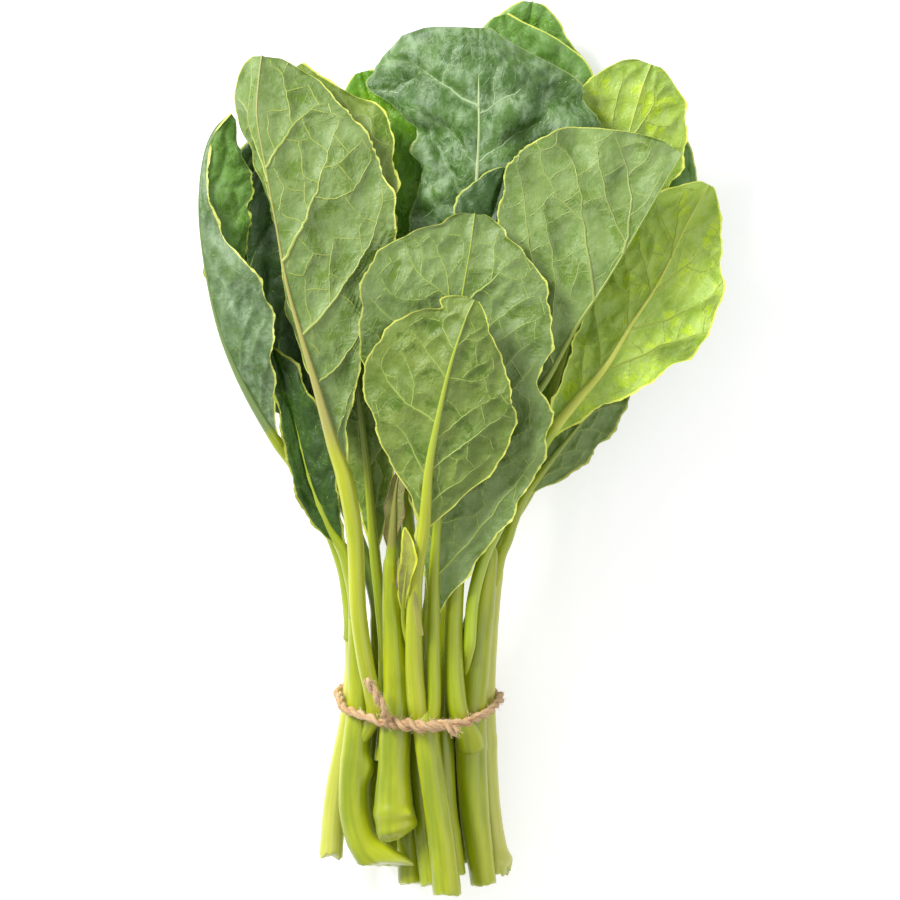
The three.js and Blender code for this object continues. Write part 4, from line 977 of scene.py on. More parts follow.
leafBuild = {
    "thickness": 0.4, "edgeThinning": 0.45, "tipEnd": 0.995, "rowGap": 1.15, "columns": 26,
    "quiltWidth": 2.4, "puff": 1.4, "crinkle": 0.45, "roll": 0.42, "tooth": 0.6, "lobe": 0.62,
    "lobeWaves": (3.7, 2.1), "crinkleWaves": (3.1, 1.9), "slopeStep": 0.01, "sharpAngle": 60,
}
youngBuild = {"rowGap": 0.6, "columns": 12, "calm": 0.4, "thin": 0.7, "size": 0.3, "cell": 0.3, "stemGap": 0.6}
leafStemBuild = {"sides": 18, "gap": 1.5, "ribs": 5, "ribDepth": 0.02, "rough": 0.05, "ribTip": 0.09,
                 "ribFlat": 0.15, "ribLift": 0.3, "rootFirst": 0.5, "footSwell": 1.05}


def halfWidth(leaf, half, u):
    past = np.clip((u - leaf["rounding"]) / (1 - leaf["rounding"]), 0, 1)
    width = along(leaf["right" if half else "left"], u) * np.sqrt(np.clip(1 - past ** 2, 0, 1))
    for side, spot, spread, depth in leaf["dents"]:
        if side == half:
            width = width * (1 - depth * np.exp(-((u - spot) / spread) ** 2))
    return width


def edgeExtra(leaf, half, u):
    # the margin's slow lobes and small teeth, in millimetres
    flatY = u * leaf["length"]
    ends = np.minimum(1, 9 * u) * np.minimum(1, 12 * (1 - u))
    slow, quick = leafBuild["lobeWaves"]
    phases = leaf["phases"]
    lobes = np.sin(flatY / slow + phases[half]) + 0.8 * np.sin(flatY / quick + phases[2 + half])
    teeth = np.interp(flatY, *leaf["teeth"][half])
    return (leafBuild["lobe"] * leaf["lobes"] * lobes + leafBuild["tooth"] * teeth) * ends * leaf["size"]


def bladePlace(leaf, half, u, reach):
    # a point of the blade: u from base to tip, reach from the midrib (0) to the edge (1)
    at, _, side, up = leaf["route"].frameAt(leaf["start"] + (1 - leaf["start"]) * u)
    width = halfWidth(leaf, half, u)
    fold = np.radians(along(leaf["fold"][half], u))
    curl = math.radians(leaf["curl"][half])
    steps = 6
    out, rise = 0, 0
    for i in range(steps):
        angle = fold + curl * reach * (i + 0.5) / steps
        out = out + np.cos(angle) / steps
        rise = rise + np.sin(angle) / steps
    sign = 1 if half else -1
    arm = reach * width + edgeExtra(leaf, half, u) * reach ** 7 * np.minimum(1, width / 4)

    # waves at the margin, quick crinkles near it, and a slow roll over the whole blade
    height, waves = leaf["ruffle"]
    wave = height * reach ** 2 * np.sin(math.tau * waves * u + half * 2) * np.minimum(1, 6 * u)
    ends = np.minimum(1, 6 * u) * np.minimum(1, 8 * (1 - u))
    flatY = u * leaf["length"]
    phases = leaf["phases"]
    slow, quick = leafBuild["crinkleWaves"]
    crinkle = np.sin(flatY / slow + phases[half]) + 0.6 * np.sin(flatY / quick + phases[2])
    wave = wave + leafBuild["crinkle"] * leaf["size"] * reach ** 4 * crinkle * ends
    pucker = sum(np.sin(sign * arm * slopeX + flatY * slopeY + start)
                 for slopeX, slopeY, start in leaf["puckers"])
    wave = wave + leafBuild["roll"] * leaf["roll"] * leaf["size"] * pucker * np.minimum(1, arm / 16) * ends
    edge = fold + curl * reach
    across = sign * (out * arm - wave * np.sin(edge))
    above = rise * arm + wave * np.cos(edge)
    return at + side * across[..., None] + up * above[..., None]


def gridFaces(rows, columns, first, flipped):
    i, j = np.meshgrid(np.arange(rows - 1), np.arange(columns - 1), indexing="ij")
    a = first + i * columns + j
    quads = np.stack([a, a + 1, a + columns + 1, a + columns], -1).reshape(-1, 4)
    return quads[:, ::-1] if flipped else quads


def makeHalf(leaf, half, lines):
    # one half of a blade as a closed sheet, quilted between its veins
    _, low, high = leaf["veins"]
    build = youngBuild if leaf["young"] else leafBuild
    rows, columns = int(leaf["length"] / build["rowGap"]), build["columns"]
    place = np.linspace(0, 1, rows)
    spread = np.linspace(0, 1, columns)
    reach = np.clip(spread + 0.1 * np.sin(math.pi * spread) * (0.8 - 2 * spread), 0, 1)
    curve = 0.55 * reach + 0.45 * reach ** 2
    base, edge = place ** low, place ** high
    u = (base[:, None] * (1 - curve) + edge[:, None] * curve) * leafBuild["tipEnd"]
    reached = np.broadcast_to(reach, u.shape).copy()
    spots = bladePlace(leaf, half, u, reached)
    width = halfWidth(leaf, half, u)
    length = leaf["length"]
    sign = 1 if half else -1
    step = leafBuild["slopeStep"]
    acrossStep = (bladePlace(leaf, half, u, np.minimum(reached + step, 1))
                  - bladePlace(leaf, half, u, np.maximum(reached - step, 0)))
    aheadStep = (bladePlace(leaf, half, np.minimum(u + step, 1), reached)
                 - bladePlace(leaf, half, np.maximum(u - step, 0), reached))
    normal = unit(np.cross(acrossStep, aheadStep)) * sign

    # the tissue bulges towards the upper face between the veins
    flatX = sign * reached * width
    flatY = u * length
    away = veinDistance(lines, reached * width, flatY)
    quilt = 1 - np.exp(-(away / leafBuild["quiltWidth"]) ** 2)
    puff = leafBuild["puff"] * quilt * np.minimum(1, 5 * reached) * np.minimum(1, 5 * (1 - reached))
    puff = puff * build.get("calm", 1.0) * leaf["size"] * np.minimum(1, width / 12)

    # the face that looks along +normal is the underside when up says so
    underUp = leaf["up"] == "under"
    middle = spots + normal * (puff * (-1 if underUp else 1))[..., None]
    thickness = leafBuild["thickness"] * build.get("thin", 1.0) * (1 - leafBuild["edgeThinning"] * reached ** 6)
    front = middle + normal * thickness[..., None] / 2
    back = middle - normal * thickness[..., None] / 2

    vertices = np.vstack([front.reshape(-1, 3), back.reshape(-1, 3)])
    total = rows * columns
    faces = [gridFaces(rows, columns, 0, not half), gridFaces(rows, columns, total, bool(half))]
    border = np.concatenate([np.arange(columns), (np.arange(1, rows) + 1) * columns - 1,
                             (rows - 1) * columns + np.arange(columns - 2, -1, -1),
                             np.arange(rows - 2, 0, -1) * columns])
    nextOne = np.roll(border, -1)
    strip = np.stack([nextOne, border, border + total, nextOne + total], -1)
    faces.append(strip if half else strip[:, ::-1])

    def twice(values):
        return np.concatenate([values.ravel(), values.ravel()])

    isUnder = np.concatenate([np.full(total, underUp), np.full(total, not underUp)]).astype(float)
    margin = np.minimum((1 - reached) * width, (1 - u) * length * 1.5)
    return {
        "vertices": vertices, "faces": np.vstack(faces), "under": isUnder, "away": twice(away),
        "margin": twice(margin), "flatX": twice(flatX) / 10 + leaf["drift"], "flatY": twice(flatY) / 10,
        "sheet": {"middle": middle, "normal": normal * (1 if underUp else -1), "u": u, "spread": reached},
    }


# ---- veins: a net of cells, in which every strand is as thick as the tissue it feeds asks for

veinBuild = {
    "cellWide": 7.0, "cellLong": 10.5, "jitter": 0.3, "keepOff": (0.8, 1.2),      # off the midrib and the edge
    "steer": 3.0, "firstStep": 6, "pulls": 8, "stiff": 0.6, "stiffLoad": 9,
    "stepLength": 1.2, "thickest": 0.7, "thinnest": 0.17, "heavyLoad": 26, "thinning": 0.8, "swing": 0.3,
    "linkLoad": 1.5, "marginShare": 0.6, "tail": 4, "heavierNearer": 2.2,
    "sides": 6, "ribs": 0, "ribDepth": 0.0, "rough": 0.0, "flat": 0.75, "lift": 0.5, "sink": 0.04,
}


def cellGraph(leaf, half):
    # jittered sites on the blade laid flat; graph nodes are the middles of the triangles between them
    random = leaf["random"]
    wide, tall = veinBuild["cellWide"] * leaf["cell"], veinBuild["cellLong"] * leaf["cell"]
    across = np.linspace(0, 1, 60)
    reachOut = halfWidth(leaf, half, across).max() + wide
    sites = []
    for row in range(int(leaf["length"] / tall) + 3):
        for column in range(int(reachOut / wide) + 2):
            lean = 0.5 * column * tall + 0.55 * column * wide
            jitterX, jitterY = random.uniform(-veinBuild["jitter"], veinBuild["jitter"], 2)
            sites.append(((column - 0.2 + jitterX) * wide,
                          (row - 2 + jitterY) * tall + lean % tall + 0.4 * tall))
    triangles = delaunay_2d_cdt([Vector(site) for site in sites], [], [], 0, 1e-4)[2]
    sites = np.array(sites)
    spots = np.array([sites[list(corner)].mean(0) for corner in triangles])
    u = spots[:, 1] / leaf["length"]
    width = halfWidth(leaf, half, np.clip(u, 0, 1))
    offMidrib, offEdge = veinBuild["keepOff"]
    kept = (u > 0.015) & (u < 0.985) & (spots[:, 0] > offMidrib) & (spots[:, 0] < width - offEdge)
    sharing = {}
    for index, corner in enumerate(triangles):
        for a, b in zip(corner, (*corner[1:], corner[0])):
            sharing.setdefault((min(a, b), max(a, b)), []).append(index)
    links = [pair for pair in sharing.values() if len(pair) == 2]
    return spots, kept, links


def linkNear(spots, kept, links, first, preferred):
    # each node's neighbours, and the pairs that cross the edge of the blade
    near = {k: [] for k in range(len(spots))}
    margin = []
    for a, b in links:
        if kept[a] and kept[b]:
            near[a].append(b)
            near[b].append(a)
        elif kept[a] or kept[b]:
            inner, outer = (a, b) if kept[a] else (b, a)
            if spots[outer, 0] > spots[inner, 0]:
                margin.append((inner, outer))
    # a start on the midrib joins the node nearest to where its vein is heading
    for k in range(first, len(spots)):
        away = spots[:first] - spots[k] - preferred * veinBuild["firstStep"]
        distance = np.where(kept[:first], np.hypot(away[:, 0], away[:, 1]), np.inf)
        near[k].append(int(np.argmin(distance)))
    return near, margin


def cheapestPaths(spots, near, first, preferred):
    # feeding paths from the starts; a step across the preferred direction costs more
    cost = np.full(len(spots), np.inf)
    parent = np.full(len(spots), -1)
    cost[first:] = 0.0
    queue = [(0.0, k) for k in range(first, len(spots))]
    order = []
    while queue:
        queue.sort()
        reached, a = queue.pop(0)
        if reached > cost[a]:
            continue
        order.append(a)
        for b in near[a]:
            step = spots[b] - spots[a]
            length = math.hypot(*step) + 1e-6
            more = reached + length * (1 + veinBuild["steer"] * (1 - float(step @ preferred) / length))
            if more < cost[b] - 1e-9:
                cost[b], parent[b] = more, a
                queue.append((more, b))
    return order, parent


def feedNet(leaf, half):
    # grows feeding paths from starts on the midrib; gives strands as (spots, loads, open end)
    random = leaf["random"]
    count, low, _ = leaf["veins"]
    spots, kept, links = cellGraph(leaf, half)
    starts = [(k + 1 + random.uniform(-0.2, 0.2) + 0.2 * half) / (count + 1.4) for k in range(count)]
    first = len(spots)
    spots = np.vstack([spots, [(0.0, leaf["length"] * start ** low) for start in starts]])
    kept = np.concatenate([kept, np.ones(count, bool)])
    preferred = np.array([math.sin(leaf["veinLean"]), math.cos(leaf["veinLean"])])
    near, margin = linkNear(spots, kept, links, first, preferred)
    order, parent = cheapestPaths(spots, near, first, preferred)
    fed = [a for a in order if parent[a] >= 0]

    # a strand carries the load of all that it feeds, and goes on in its heaviest branch
    load = np.ones(len(spots))
    for a in reversed(fed):
        load[parent[a]] += load[a]
    children = {}
    for a in fed:
        children.setdefault(parent[a], []).append(a)
    heir = {a: max(children[a], key=lambda c: load[c]) for a in children}
    # heavy strands pull themselves straight, light ones stay where the cells put them
    for _ in range(veinBuild["pulls"]):
        pulled = spots.copy()
        for a in fed:
            if a in heir:
                stiff = veinBuild["stiff"] * min(1.0, load[a] / veinBuild["stiffLoad"])
                pulled[a] = spots[a] * (1 - stiff) + (spots[parent[a]] + spots[heir[a]]) * 0.5 * stiff
        spots = pulled

    chains = []
    for a in order:
        # a strand starts at a midrib start or where it isn't its parent's heaviest branch
        if parent[a] >= 0 and a == heir[parent[a]]:
            continue
        path = [parent[a], a] if parent[a] >= 0 else [a]
        while path[-1] in heir:
            path.append(heir[path[-1]])
        if len(path) > 1:
            chains.append((spots[path], load[path[1:] + path[-1:]], True))
    used = {(min(a, parent[a]), max(a, parent[a])) for a in fed}
    for a in order:
        for b in near[a]:
            if a < b < first and (a, b) not in used and random.random() < leaf["loops"]:
                chains.append((spots[[a, b]], np.full(2, veinBuild["linkLoad"]), False))
    for inner, outer in margin:
        if random.random() < veinBuild["marginShare"]:
            end = spots[inner] + (spots[outer] - spots[inner]) * random.uniform(0.5, 0.9)
            chains.append((np.stack([spots[inner], end]), np.ones(2), True))
    return chains


def curveThrough(spots, reach, even):
    # a smooth curve that passes through every spot, so that branches stay joined
    padded = np.vstack([2 * spots[0] - spots[1], spots, 2 * spots[-1] - spots[-2]])
    k = np.clip(np.searchsorted(reach, even, side="right") - 1, 0, len(spots) - 2)
    t = ((even - reach[k]) / np.maximum(reach[k + 1] - reach[k], 1e-6))[:, None]
    p0, p1, p2, p3 = (padded[k + i] for i in range(4))
    curve = 0.5 * (2 * p1 + (p2 - p0) * t + (2 * p0 - 5 * p1 + 4 * p2 - p3) * t ** 2
                   + (3 * p1 - p0 - 3 * p2 + p3) * t ** 3)
    return curve[:, 0], curve[:, 1], np.sin(math.pi * t[:, 0])


def veinLines(leaf, half):
    # fine polylines: share of the half-width, share of the length, radius, and place on the flat blade
    random = leaf["random"]
    build = veinBuild
    size = leaf["cell"]
    swing = build["swing"] * size
    lines = []
    for spots, load, isOpen in feedNet(leaf, half):
        reach = np.concatenate([[0], np.cumsum(np.hypot(*np.diff(spots, axis=0).T))])
        even = np.linspace(0, reach[-1], max(3, int(reach[-1] / build["stepLength"])))
        x, y, free = curveThrough(spots, reach, even)
        phase = random.uniform(0, 9)
        x = x + swing * free * (np.sin(even / 2.3 + phase) + math.sin(phase * 3))
        y = y + swing * free * (np.sin(even / 1.9 + phase * 2) + math.sin(phase * 5))
        rank = np.minimum(1, np.interp(even, reach, load) / build["heavyLoad"]) ** build["thinning"]
        radius = build["thinnest"] + (build["thickest"] - build["thinnest"]) * rank
        tail = np.clip((reach[-1] - even) / build["tail"] + 0.35, 0, 1) if isOpen else 1.0
        radius = radius * size ** 0.5 * tail
        u = np.clip(y / leaf["length"], 0.004, 0.99)
        edge = np.maximum(halfWidth(leaf, half, u), 0.5)
        x = np.clip(x, 0.0, edge - 0.5)
        lines.append((x / edge, u, radius * leaf["veinGirth"], x, y))
    return lines


def veinDistance(lines, flatX, flatY):
    # millimetres from every place on the blade to the nearest strand, heavier strands counting as nearer
    nearest = np.full(flatX.shape, np.inf)
    for _, _, radius, xs, ys in lines:
        for x, y, r in zip(xs, ys, radius):
            apart = np.hypot(flatX - x, flatY - y) + veinBuild["heavierNearer"] * (0.6 - r)
            nearest = np.minimum(nearest, apart)
    return np.maximum(nearest, 0)


def layOn(sheet, lines):
    # places and outward directions of flat polylines on a half blade's sheet
    rows, columns = sheet["u"].shape
    placed = []
    for reach, u, radius, *_ in lines:
        column = np.interp(reach, sheet["spread"][0], np.arange(columns))
        left = np.minimum(column.astype(int), columns - 2)
        f = column - left
        row = np.empty(len(u))
        for i, (c, share) in enumerate(zip(left, f)):
            heights = sheet["u"][:, c] * (1 - share) + sheet["u"][:, c + 1] * share
            row[i] = np.interp(u[i], heights, np.arange(rows))
        low = np.minimum(row.astype(int), rows - 2)
        g = (row - low)[:, None]
        f = f[:, None]

        def read(grid):
            below = grid[low, left] * (1 - f) + grid[low, left + 1] * f
            above = grid[low + 1, left] * (1 - f) + grid[low + 1, left + 1] * f
            return below * (1 - g) + above * g
        placed.append((read(sheet["middle"]), unit(read(sheet["normal"])), radius))
    return placed


def makeVeins(name, leaf, placed):
    # all strands of a leaf as separate polylines in one mesh, grown into flat ridges
    spots = np.vstack([line[0] for line in placed])
    face = np.vstack([line[1] for line in placed])
    radius = np.concatenate([line[2] for line in placed])
    reach = np.concatenate([np.arange(len(line[2])) * veinBuild["stepLength"] for line in placed])
    lengths = [len(line[2]) for line in placed]
    firsts = np.concatenate([[0], np.cumsum(lengths)[:-1]])
    edges = [(first + i, first + i + 1) for first, length in zip(firsts, lengths) for i in range(length - 1)]
    lift = veinBuild["lift" if leaf["up"] == "under" else "sink"]
    return sweepStem(name + "_veins", spots, face, radius, reach, veinBuild,
                     stemMaterial(*leaf["stemLook"]), edges, flat=veinBuild["flat"], lift=lift, climb=3.0)


def makeBlade(name, leaf):
    lines = [veinLines(leaf, half) for half in (0, 1)]
    halves = [makeHalf(leaf, half, lines[half]) for half in (0, 1)]
    placed = [line for half in (0, 1) for line in layOn(halves[half]["sheet"], lines[half])]
    first = len(halves[0]["vertices"])
    merged = {key: np.concatenate([halves[0][key], halves[1][key]]) for key in halves[0]
              if key not in ("faces", "sheet")}
    faces = np.vstack([halves[0]["faces"], halves[1]["faces"] + first])
    mesh = bpy.data.meshes.new(name + "_blade")
    mesh.from_pydata((merged["vertices"] * mm).tolist(), [], faces.tolist())
    for key in ("under", "away", "margin"):
        setAttribute(mesh, key, "FLOAT", merged[key])
    # the per-leaf value: own tone together with painted light and painted shade
    setAttribute(mesh, "toneAndPaintedLight", "FLOAT", np.full(len(merged["under"]), leaf["toneAndPaintedLight"]))
    corners = np.empty(len(mesh.loops), np.int32)
    mesh.loops.foreach_get("vertex_index", corners)
    layer = mesh.uv_layers.new(name="flat")
    pairs = np.stack([merged["flatX"][corners], merged["flatY"][corners]], -1)
    layer.data.foreach_set("uv", pairs.astype(np.float32).ravel())
    mesh.polygons.foreach_set("use_smooth", np.ones(len(mesh.polygons), bool))
    mesh.materials.append(leafMaterial(*leaf["looks"]))
    mesh.set_sharp_from_angle(angle=math.radians(leafBuild["sharpAngle"]))
    mesh.update()
    return [mesh, makeVeins(name, leaf, placed)]


def makeLeafStem(name, leaf):
    # stem and midrib in one, from inside the stalk to the tip: round below, thin and flatter up the blade
    build = leafStemBuild
    foot, base = leaf["stem"]
    root, rootGirth = leaf["root"]
    # a foot with a path of its own takes the place of the first point of the path
    foots = leaf.get("footPath", [root, leaf["path"][0]])
    route = Route(foots + leaf["path"][1:])
    bladeStart = route.shareAtPoint(leaf["bladeFrom"] + len(foots) - 1)
    footShare = route.shareAtPoint(len(foots) - 1)
    gap = build["gap"] * (youngBuild["stemGap"] if leaf["young"] else 1.0)
    share = np.linspace(0, 0.998, int(route.length / gap))
    onBlade = np.clip((share - bladeStart) / (1 - bladeStart), 0, 1)
    stem = np.interp(share, [0, footShare, (footShare + bladeStart) / 2, bladeStart],
                     [rootGirth, foot * build["footSwell"], (foot + base) / 2, base])
    girth = stem * ((1 - build["ribTip"]) * (1 - onBlade) ** leaf["ribPower"] + build["ribTip"])
    girth[0] *= build["rootFirst"]
    at, _, _, up = route.frameAt(share)
    face = up if leaf["up"] == "under" else -up
    climb = fade(share, footShare * 0.2, footShare * 1.6) + fade(onBlade, 0.0, leaf["ribFrom"])
    return sweepStem(name + "_stem", at, face, girth, share * route.length, build,
                     stemMaterial(*leaf["stemLook"]), flat=1 - build["ribFlat"] * fade(onBlade, 0, 0.2),
                     lift=build["ribLift"] * fade(onBlade, 0, 0.15), climb=climb)


def makeShoot(name, shoot):
    # a small plain shoot: a bract or a bud spike
    route = Route(shoot["path"])
    share = np.linspace(0, 1, 26)
    at, _, _, up = route.frameAt(share)
    girth = along(shoot["girth"], share) * np.minimum(1, np.sqrt((1 - share) * 9) + 0.02)
    return sweepStem(name, at, up, girth, share * route.length, leafStemBuild, stemMaterial(*shoot["look"]),
                     flat=shoot["flat"], climb=1 + share ** 3)


teethBuild = {"gap": (2.4, 6.5), "meanGap": 3, "lean": 0.68, "height": (0.35, 1.5)}


def growTeeth(random, length):
    # teeth lean towards the tip and vary in size and spacing
    valleys = np.cumsum(random.uniform(*teethBuild["gap"], int(length / teethBuild["meanGap"])))
    tips = valleys[:-1] + np.diff(valleys) * teethBuild["lean"]
    heights = random.uniform(*teethBuild["height"], len(tips))
    spots = np.concatenate([valleys, tips])
    order = np.argsort(spots)
    return spots[order], np.concatenate([np.zeros(len(valleys)), heights])[order]


def makeLeaf(name, leaf, seed):
    random = np.random.default_rng(seed)
    leaf = {**leafDefaults, **leaf, "random": random, "route": Route(leaf["path"])}
    leaf["start"] = leaf["route"].shareAtPoint(leaf["bladeFrom"])
    leaf["length"] = (1 - leaf["start"]) * leaf["route"].length
    leaf["phases"] = random.uniform(0, math.tau, 4)
    leaf["drift"] = seed * 17.3           # each blade reads another part of the patterns
    leaf["size"] = youngBuild["size"] if leaf["young"] else 1.0
    turns, pitches = random.uniform(0, math.tau, 7), random.uniform(15, 38, 7)
    leaf["puckers"] = [(math.tau / pitch * math.cos(turn), math.tau / pitch * math.sin(turn), turn * 5)
                       for turn, pitch in zip(turns, pitches)]
    leaf["teeth"] = [growTeeth(random, leaf["length"]) for _ in range(2)]
    if leaf["young"]:
        leaf["cell"] = youngBuild["cell"]
    meshes = makeBlade(name, leaf) + [makeLeafStem(name, leaf)]
    meshes += [makeShoot(name + "_shoot", shoot) for shoot in leaf["shoots"]]
    for mesh in meshes:
        placeInFrame(mesh)
    settle(joinPiece(name + "_skin", meshes), name)


for index, (name, leaf) in enumerate(leaves.items()):
    makeLeaf(name, leaf, index + 3)
print("leaves made:", len(leaves))


# ---- twine: two straw strands twisted together, by Geometry Nodes

twine = {
    "tieY": -94.0, "tieZ": 22.5, "slope": 0.42,   # the leaning plane of the tie
    "clear": 1.95,                                # from a stalk's skin to the middle of the rope
    "strand": 1.0, "apart": 0.8, "pitch": 10.0, "sides": 10, "steps": 520,
    "wander": (0.86, 0.3), "thickness": (0.82, 0.36),             # least, and how much noise adds
    "ridges": [(5.0, 1.0), (3.0, 0.8)], "ridge": 0.045, "rough": 0.5, "lay": 4.0,
    "fibresPerArea": 900000, "fibreLength": 2.8, "fibreGirth": 0.032, "fray": 0.3, "looseFray": (0.35, 1.6),
    "fibreOut": 0.42, "fibreAhead": 0.9, "wanderScale": 160.0, "roughScale": 700.0,
    "openReach": (3.5, 3), "openSlack": 0.5, "looseGirth": (0.96, 0.2),    # the twist opens at both ends
    "knot": (-36.0, -1.0), "knotApart": 1.0, "knotPitch": 11,    # in x, where the loose rope winds round
    "knotFade": 5, "ringRise": 0.6, "looseRise": 1.1, "looseFrom": -29, "looseTo": -5.0, "looseStep": 0.3,
    "upperEnd": [[-35, -86.8, 3.2], [-31.5, -92.5, 3.4], [-28.8, -97.2, 2.6]],   # z above the ring's top
    "shortEnd": [[-3.4, -105.2, 0.4], [-0.8, -107.2, 0.5]],                      # z above where it leaves
}
strawLook = {
    "long": (3.4, 3.4, 0.9), "hair": (9.0, 9.0, 1.2), "patch": (0.9, 0.9, 1.6),
    # pale is a painted highlight on the raised long fibres
    "deep": paint(232, 184, 124), "warm": paint(246, 210, 160), "pale": paint(254, 240, 212),
    # dark is painted shade in the sunken grooves between the fibres
    "dark": paint(158, 98, 50), "fibre": paint(238, 214, 182),
    "bumpStep": 0.0004, "roughness": 0.62, "sheen": 0.15,
}


def buildStraw():
    material, n, shader, _ = startMaterial("straw")
    look = strawLook
    grain = n.attribute("grain", "Vector")
    long = n.noise(n.stretched(grain, look["long"]), 1.0, 4.0, 0.62)
    hair = n.noise(n.stretched(grain, look["hair"]), 1.0, 3.0, 0.6)
    patch = n.noise(n.stretched(grain, look["patch"]), 1.0, 3.0)
    colour = n.mix(n.step(patch, 0.35, 0.65), look["deep"], look["warm"])
    # painted highlight: pale where the long fibres stand up in the bump
    colour = n.mix(n.times(n.step(long, 0.5, 0.7), 0.75), colour, look["pale"])
    # painted shade: dark where the fine fibres sink in the bump
    colour = n.mix(n.times(n.step(hair, 0.52, 0.36), 0.5), colour, look["dark"])
    colour = n.mix(n.times(n.attribute("tone"), 0.5), colour, look["fibre"])
    bump = n.add("ShaderNodeBump", {"Strength": 1.0, "Distance": look["bumpStep"],
                                    "Height": n.plus(n.times(long, 0.6), hair)})
    n.put(shader.inputs["Base Color"], colour)
    n.put(shader.inputs["Normal"], bump.outputs[0])
    shader.inputs["Roughness"].default_value = look["roughness"]
    shader.inputs["Sheen Weight"].default_value = look["sheen"]
    return material


def buildRope():
    # strands wound round a polyline that carries side, rise, roll and girth, with loose fibres standing off
    inputs = {"Geometry": "geometry", "Strands": "count", "Sides": "count", "Apart": "number",
              "Fibres per Area": "number", "Fibre Length": "number", "Seed": "count", "Material": "material"}
    tree, n, entry, leave = startGroup("twistedRope", "GeometryNodeTree", inputs, {"Geometry": "geometry"})
    line = n.add("GeometryNodeMeshToCurve", {"Mesh": entry["Geometry"]})
    several = n.add("GeometryNodeDuplicateElements", {"Geometry": line.outputs[0], "Amount": entry["Strands"]},
                    domain="SPLINE")
    share = n.math("DIVIDE", several.outputs["Duplicate Index"], entry["Strands"])
    numbered = store(n, several.outputs["Geometry"], "strand", share)
    strand = named(n, "strand")
    angle = n.plus(named(n, "roll"), n.times(strand, math.tau))
    place = n.add("GeometryNodeInputPosition").outputs[0]
    apartNoise = n.combine(n.times(strand, 40.0), 0.0, 0.0)
    wander = n.noise(n.vector("ADD", n.scaled(place, twine["wanderScale"]), apartNoise), 1.0)
    least, more = twine["wander"]
    apart = n.times(entry["Apart"], n.plus(least, n.times(wander, more)), named(n, "slack"))
    side, rise = named(n, "side", "FLOAT_VECTOR"), named(n, "rise", "FLOAT_VECTOR")
    around = n.vector("ADD", n.scaled(side, n.math("COSINE", angle)), n.scaled(rise, n.math("SINE", angle)))
    wound = n.add("GeometryNodeSetPosition", {"Geometry": numbered, "Offset": n.scaled(around, apart)})
    centre = store(n, wound.outputs[0], "centre", place, "FLOAT_VECTOR")
    ring = n.add("GeometryNodeCurvePrimitiveCircle", {"Resolution": entry["Sides"], "Radius": 1.0})
    turned = store(n, ring.outputs[0], "turn", n.add("GeometryNodeSplineParameter").outputs["Factor"])
    least, more = twine["thickness"]
    skin = n.add("GeometryNodeCurveToMesh", {
        "Curve": centre, "Profile Curve": turned, "Fill Caps": True,
        "Scale": n.times(named(n, "girth"), n.plus(least, n.times(wander, more)))})

    # straws of a strand stand out as ridges that follow its twist
    reach = named(n, "reachAlong")
    lay = n.plus(n.times(named(n, "turn"), math.tau), n.times(reach, twine["lay"]))
    ridges = n.plus(*[n.times(n.math("SINE", n.times(lay, waves)), height)
                      for waves, height in twine["ridges"]])
    rough = n.math("SUBTRACT", n.noise(n.scaled(place, twine["roughScale"]), 1.0, 2.0), 0.5)
    swell = n.plus(n.times(ridges, twine["ridge"]), n.times(rough, twine["rough"]))
    outward = n.vector("NORMALIZE", n.vector("SUBTRACT", place, named(n, "centre", "FLOAT_VECTOR")))
    shift = n.scaled(outward, n.times(swell, named(n, "girth")))
    moved = n.add("GeometryNodeSetPosition", {"Geometry": skin.outputs[0], "Offset": shift})
    grain = n.combine(n.math("COSINE", lay), n.math("SINE", lay), n.plus(reach, n.times(strand, 31.0)))
    grained = store(n, moved.outputs[0], "grain", grain, "FLOAT_VECTOR")
    body = store(n, grained, "tone", 0.0)

    # loose fibres: thin bent slips, three sides and six rings each
    density = n.times(named(n, "fray"), entry["Fibres per Area"])
    onSkin = n.add("GeometryNodeDistributePointsOnFaces",
                   {"Mesh": body, "Density": density, "Seed": entry["Seed"]},
                   distribute_method="RANDOM").outputs
    slip = n.add("GeometryNodeCurveQuadraticBezier", {
        "Resolution": 5, "Start": (0, 0, 0), "Middle": (0.0, 0.12, 0.5), "End": (0.1, 0.42, 0.86)})
    slender = n.add("GeometryNodeCurvePrimitiveCircle", {"Resolution": 3, "Radius": twine["fibreGirth"]})
    hair = n.add("GeometryNodeCurveToMesh", {
        "Curve": slip.outputs[0], "Profile Curve": slender.outputs[0], "Fill Caps": True})
    toned = store(n, hair.outputs[0], "tone", 1.0)
    astray = n.add("FunctionNodeRandomValue",
                   {"Min": (-0.5, -0.5, -0.5), "Max": (0.5, 0.5, 0.5), "Seed": entry["Seed"]},
                   data_type="FLOAT_VECTOR").outputs["Value"]
    lean = n.vector("ADD", n.scaled(onSkin["Normal"], twine["fibreOut"]), astray)
    lean = n.vector("ADD", lean, n.scaled(named(n, "heading", "FLOAT_VECTOR"), twine["fibreAhead"]))
    turnTo = n.add("FunctionNodeAlignRotationToVector", {"Vector": lean}, axis="Z")
    size = n.add("FunctionNodeRandomValue", {2: 0.35, 3: 1.0, "Seed": n.plus(entry["Seed"], 5)},
                 data_type="FLOAT").outputs[1]
    placed = n.add("GeometryNodeInstanceOnPoints", {
        "Points": onSkin["Points"], "Instance": toned, "Rotation": turnTo.outputs[0],
        "Scale": n.scaled(n.combine(1.0, 1.0, 1.0), n.times(size, entry["Fibre Length"]))})
    both = n.add("GeometryNodeJoinGeometry")
    for part in (placed.outputs[0], body):
        n.put(both.inputs[0], part)
    n.put(leave["Geometry"], finishTree(n, both.outputs[0], entry["Material"]))
    return tree


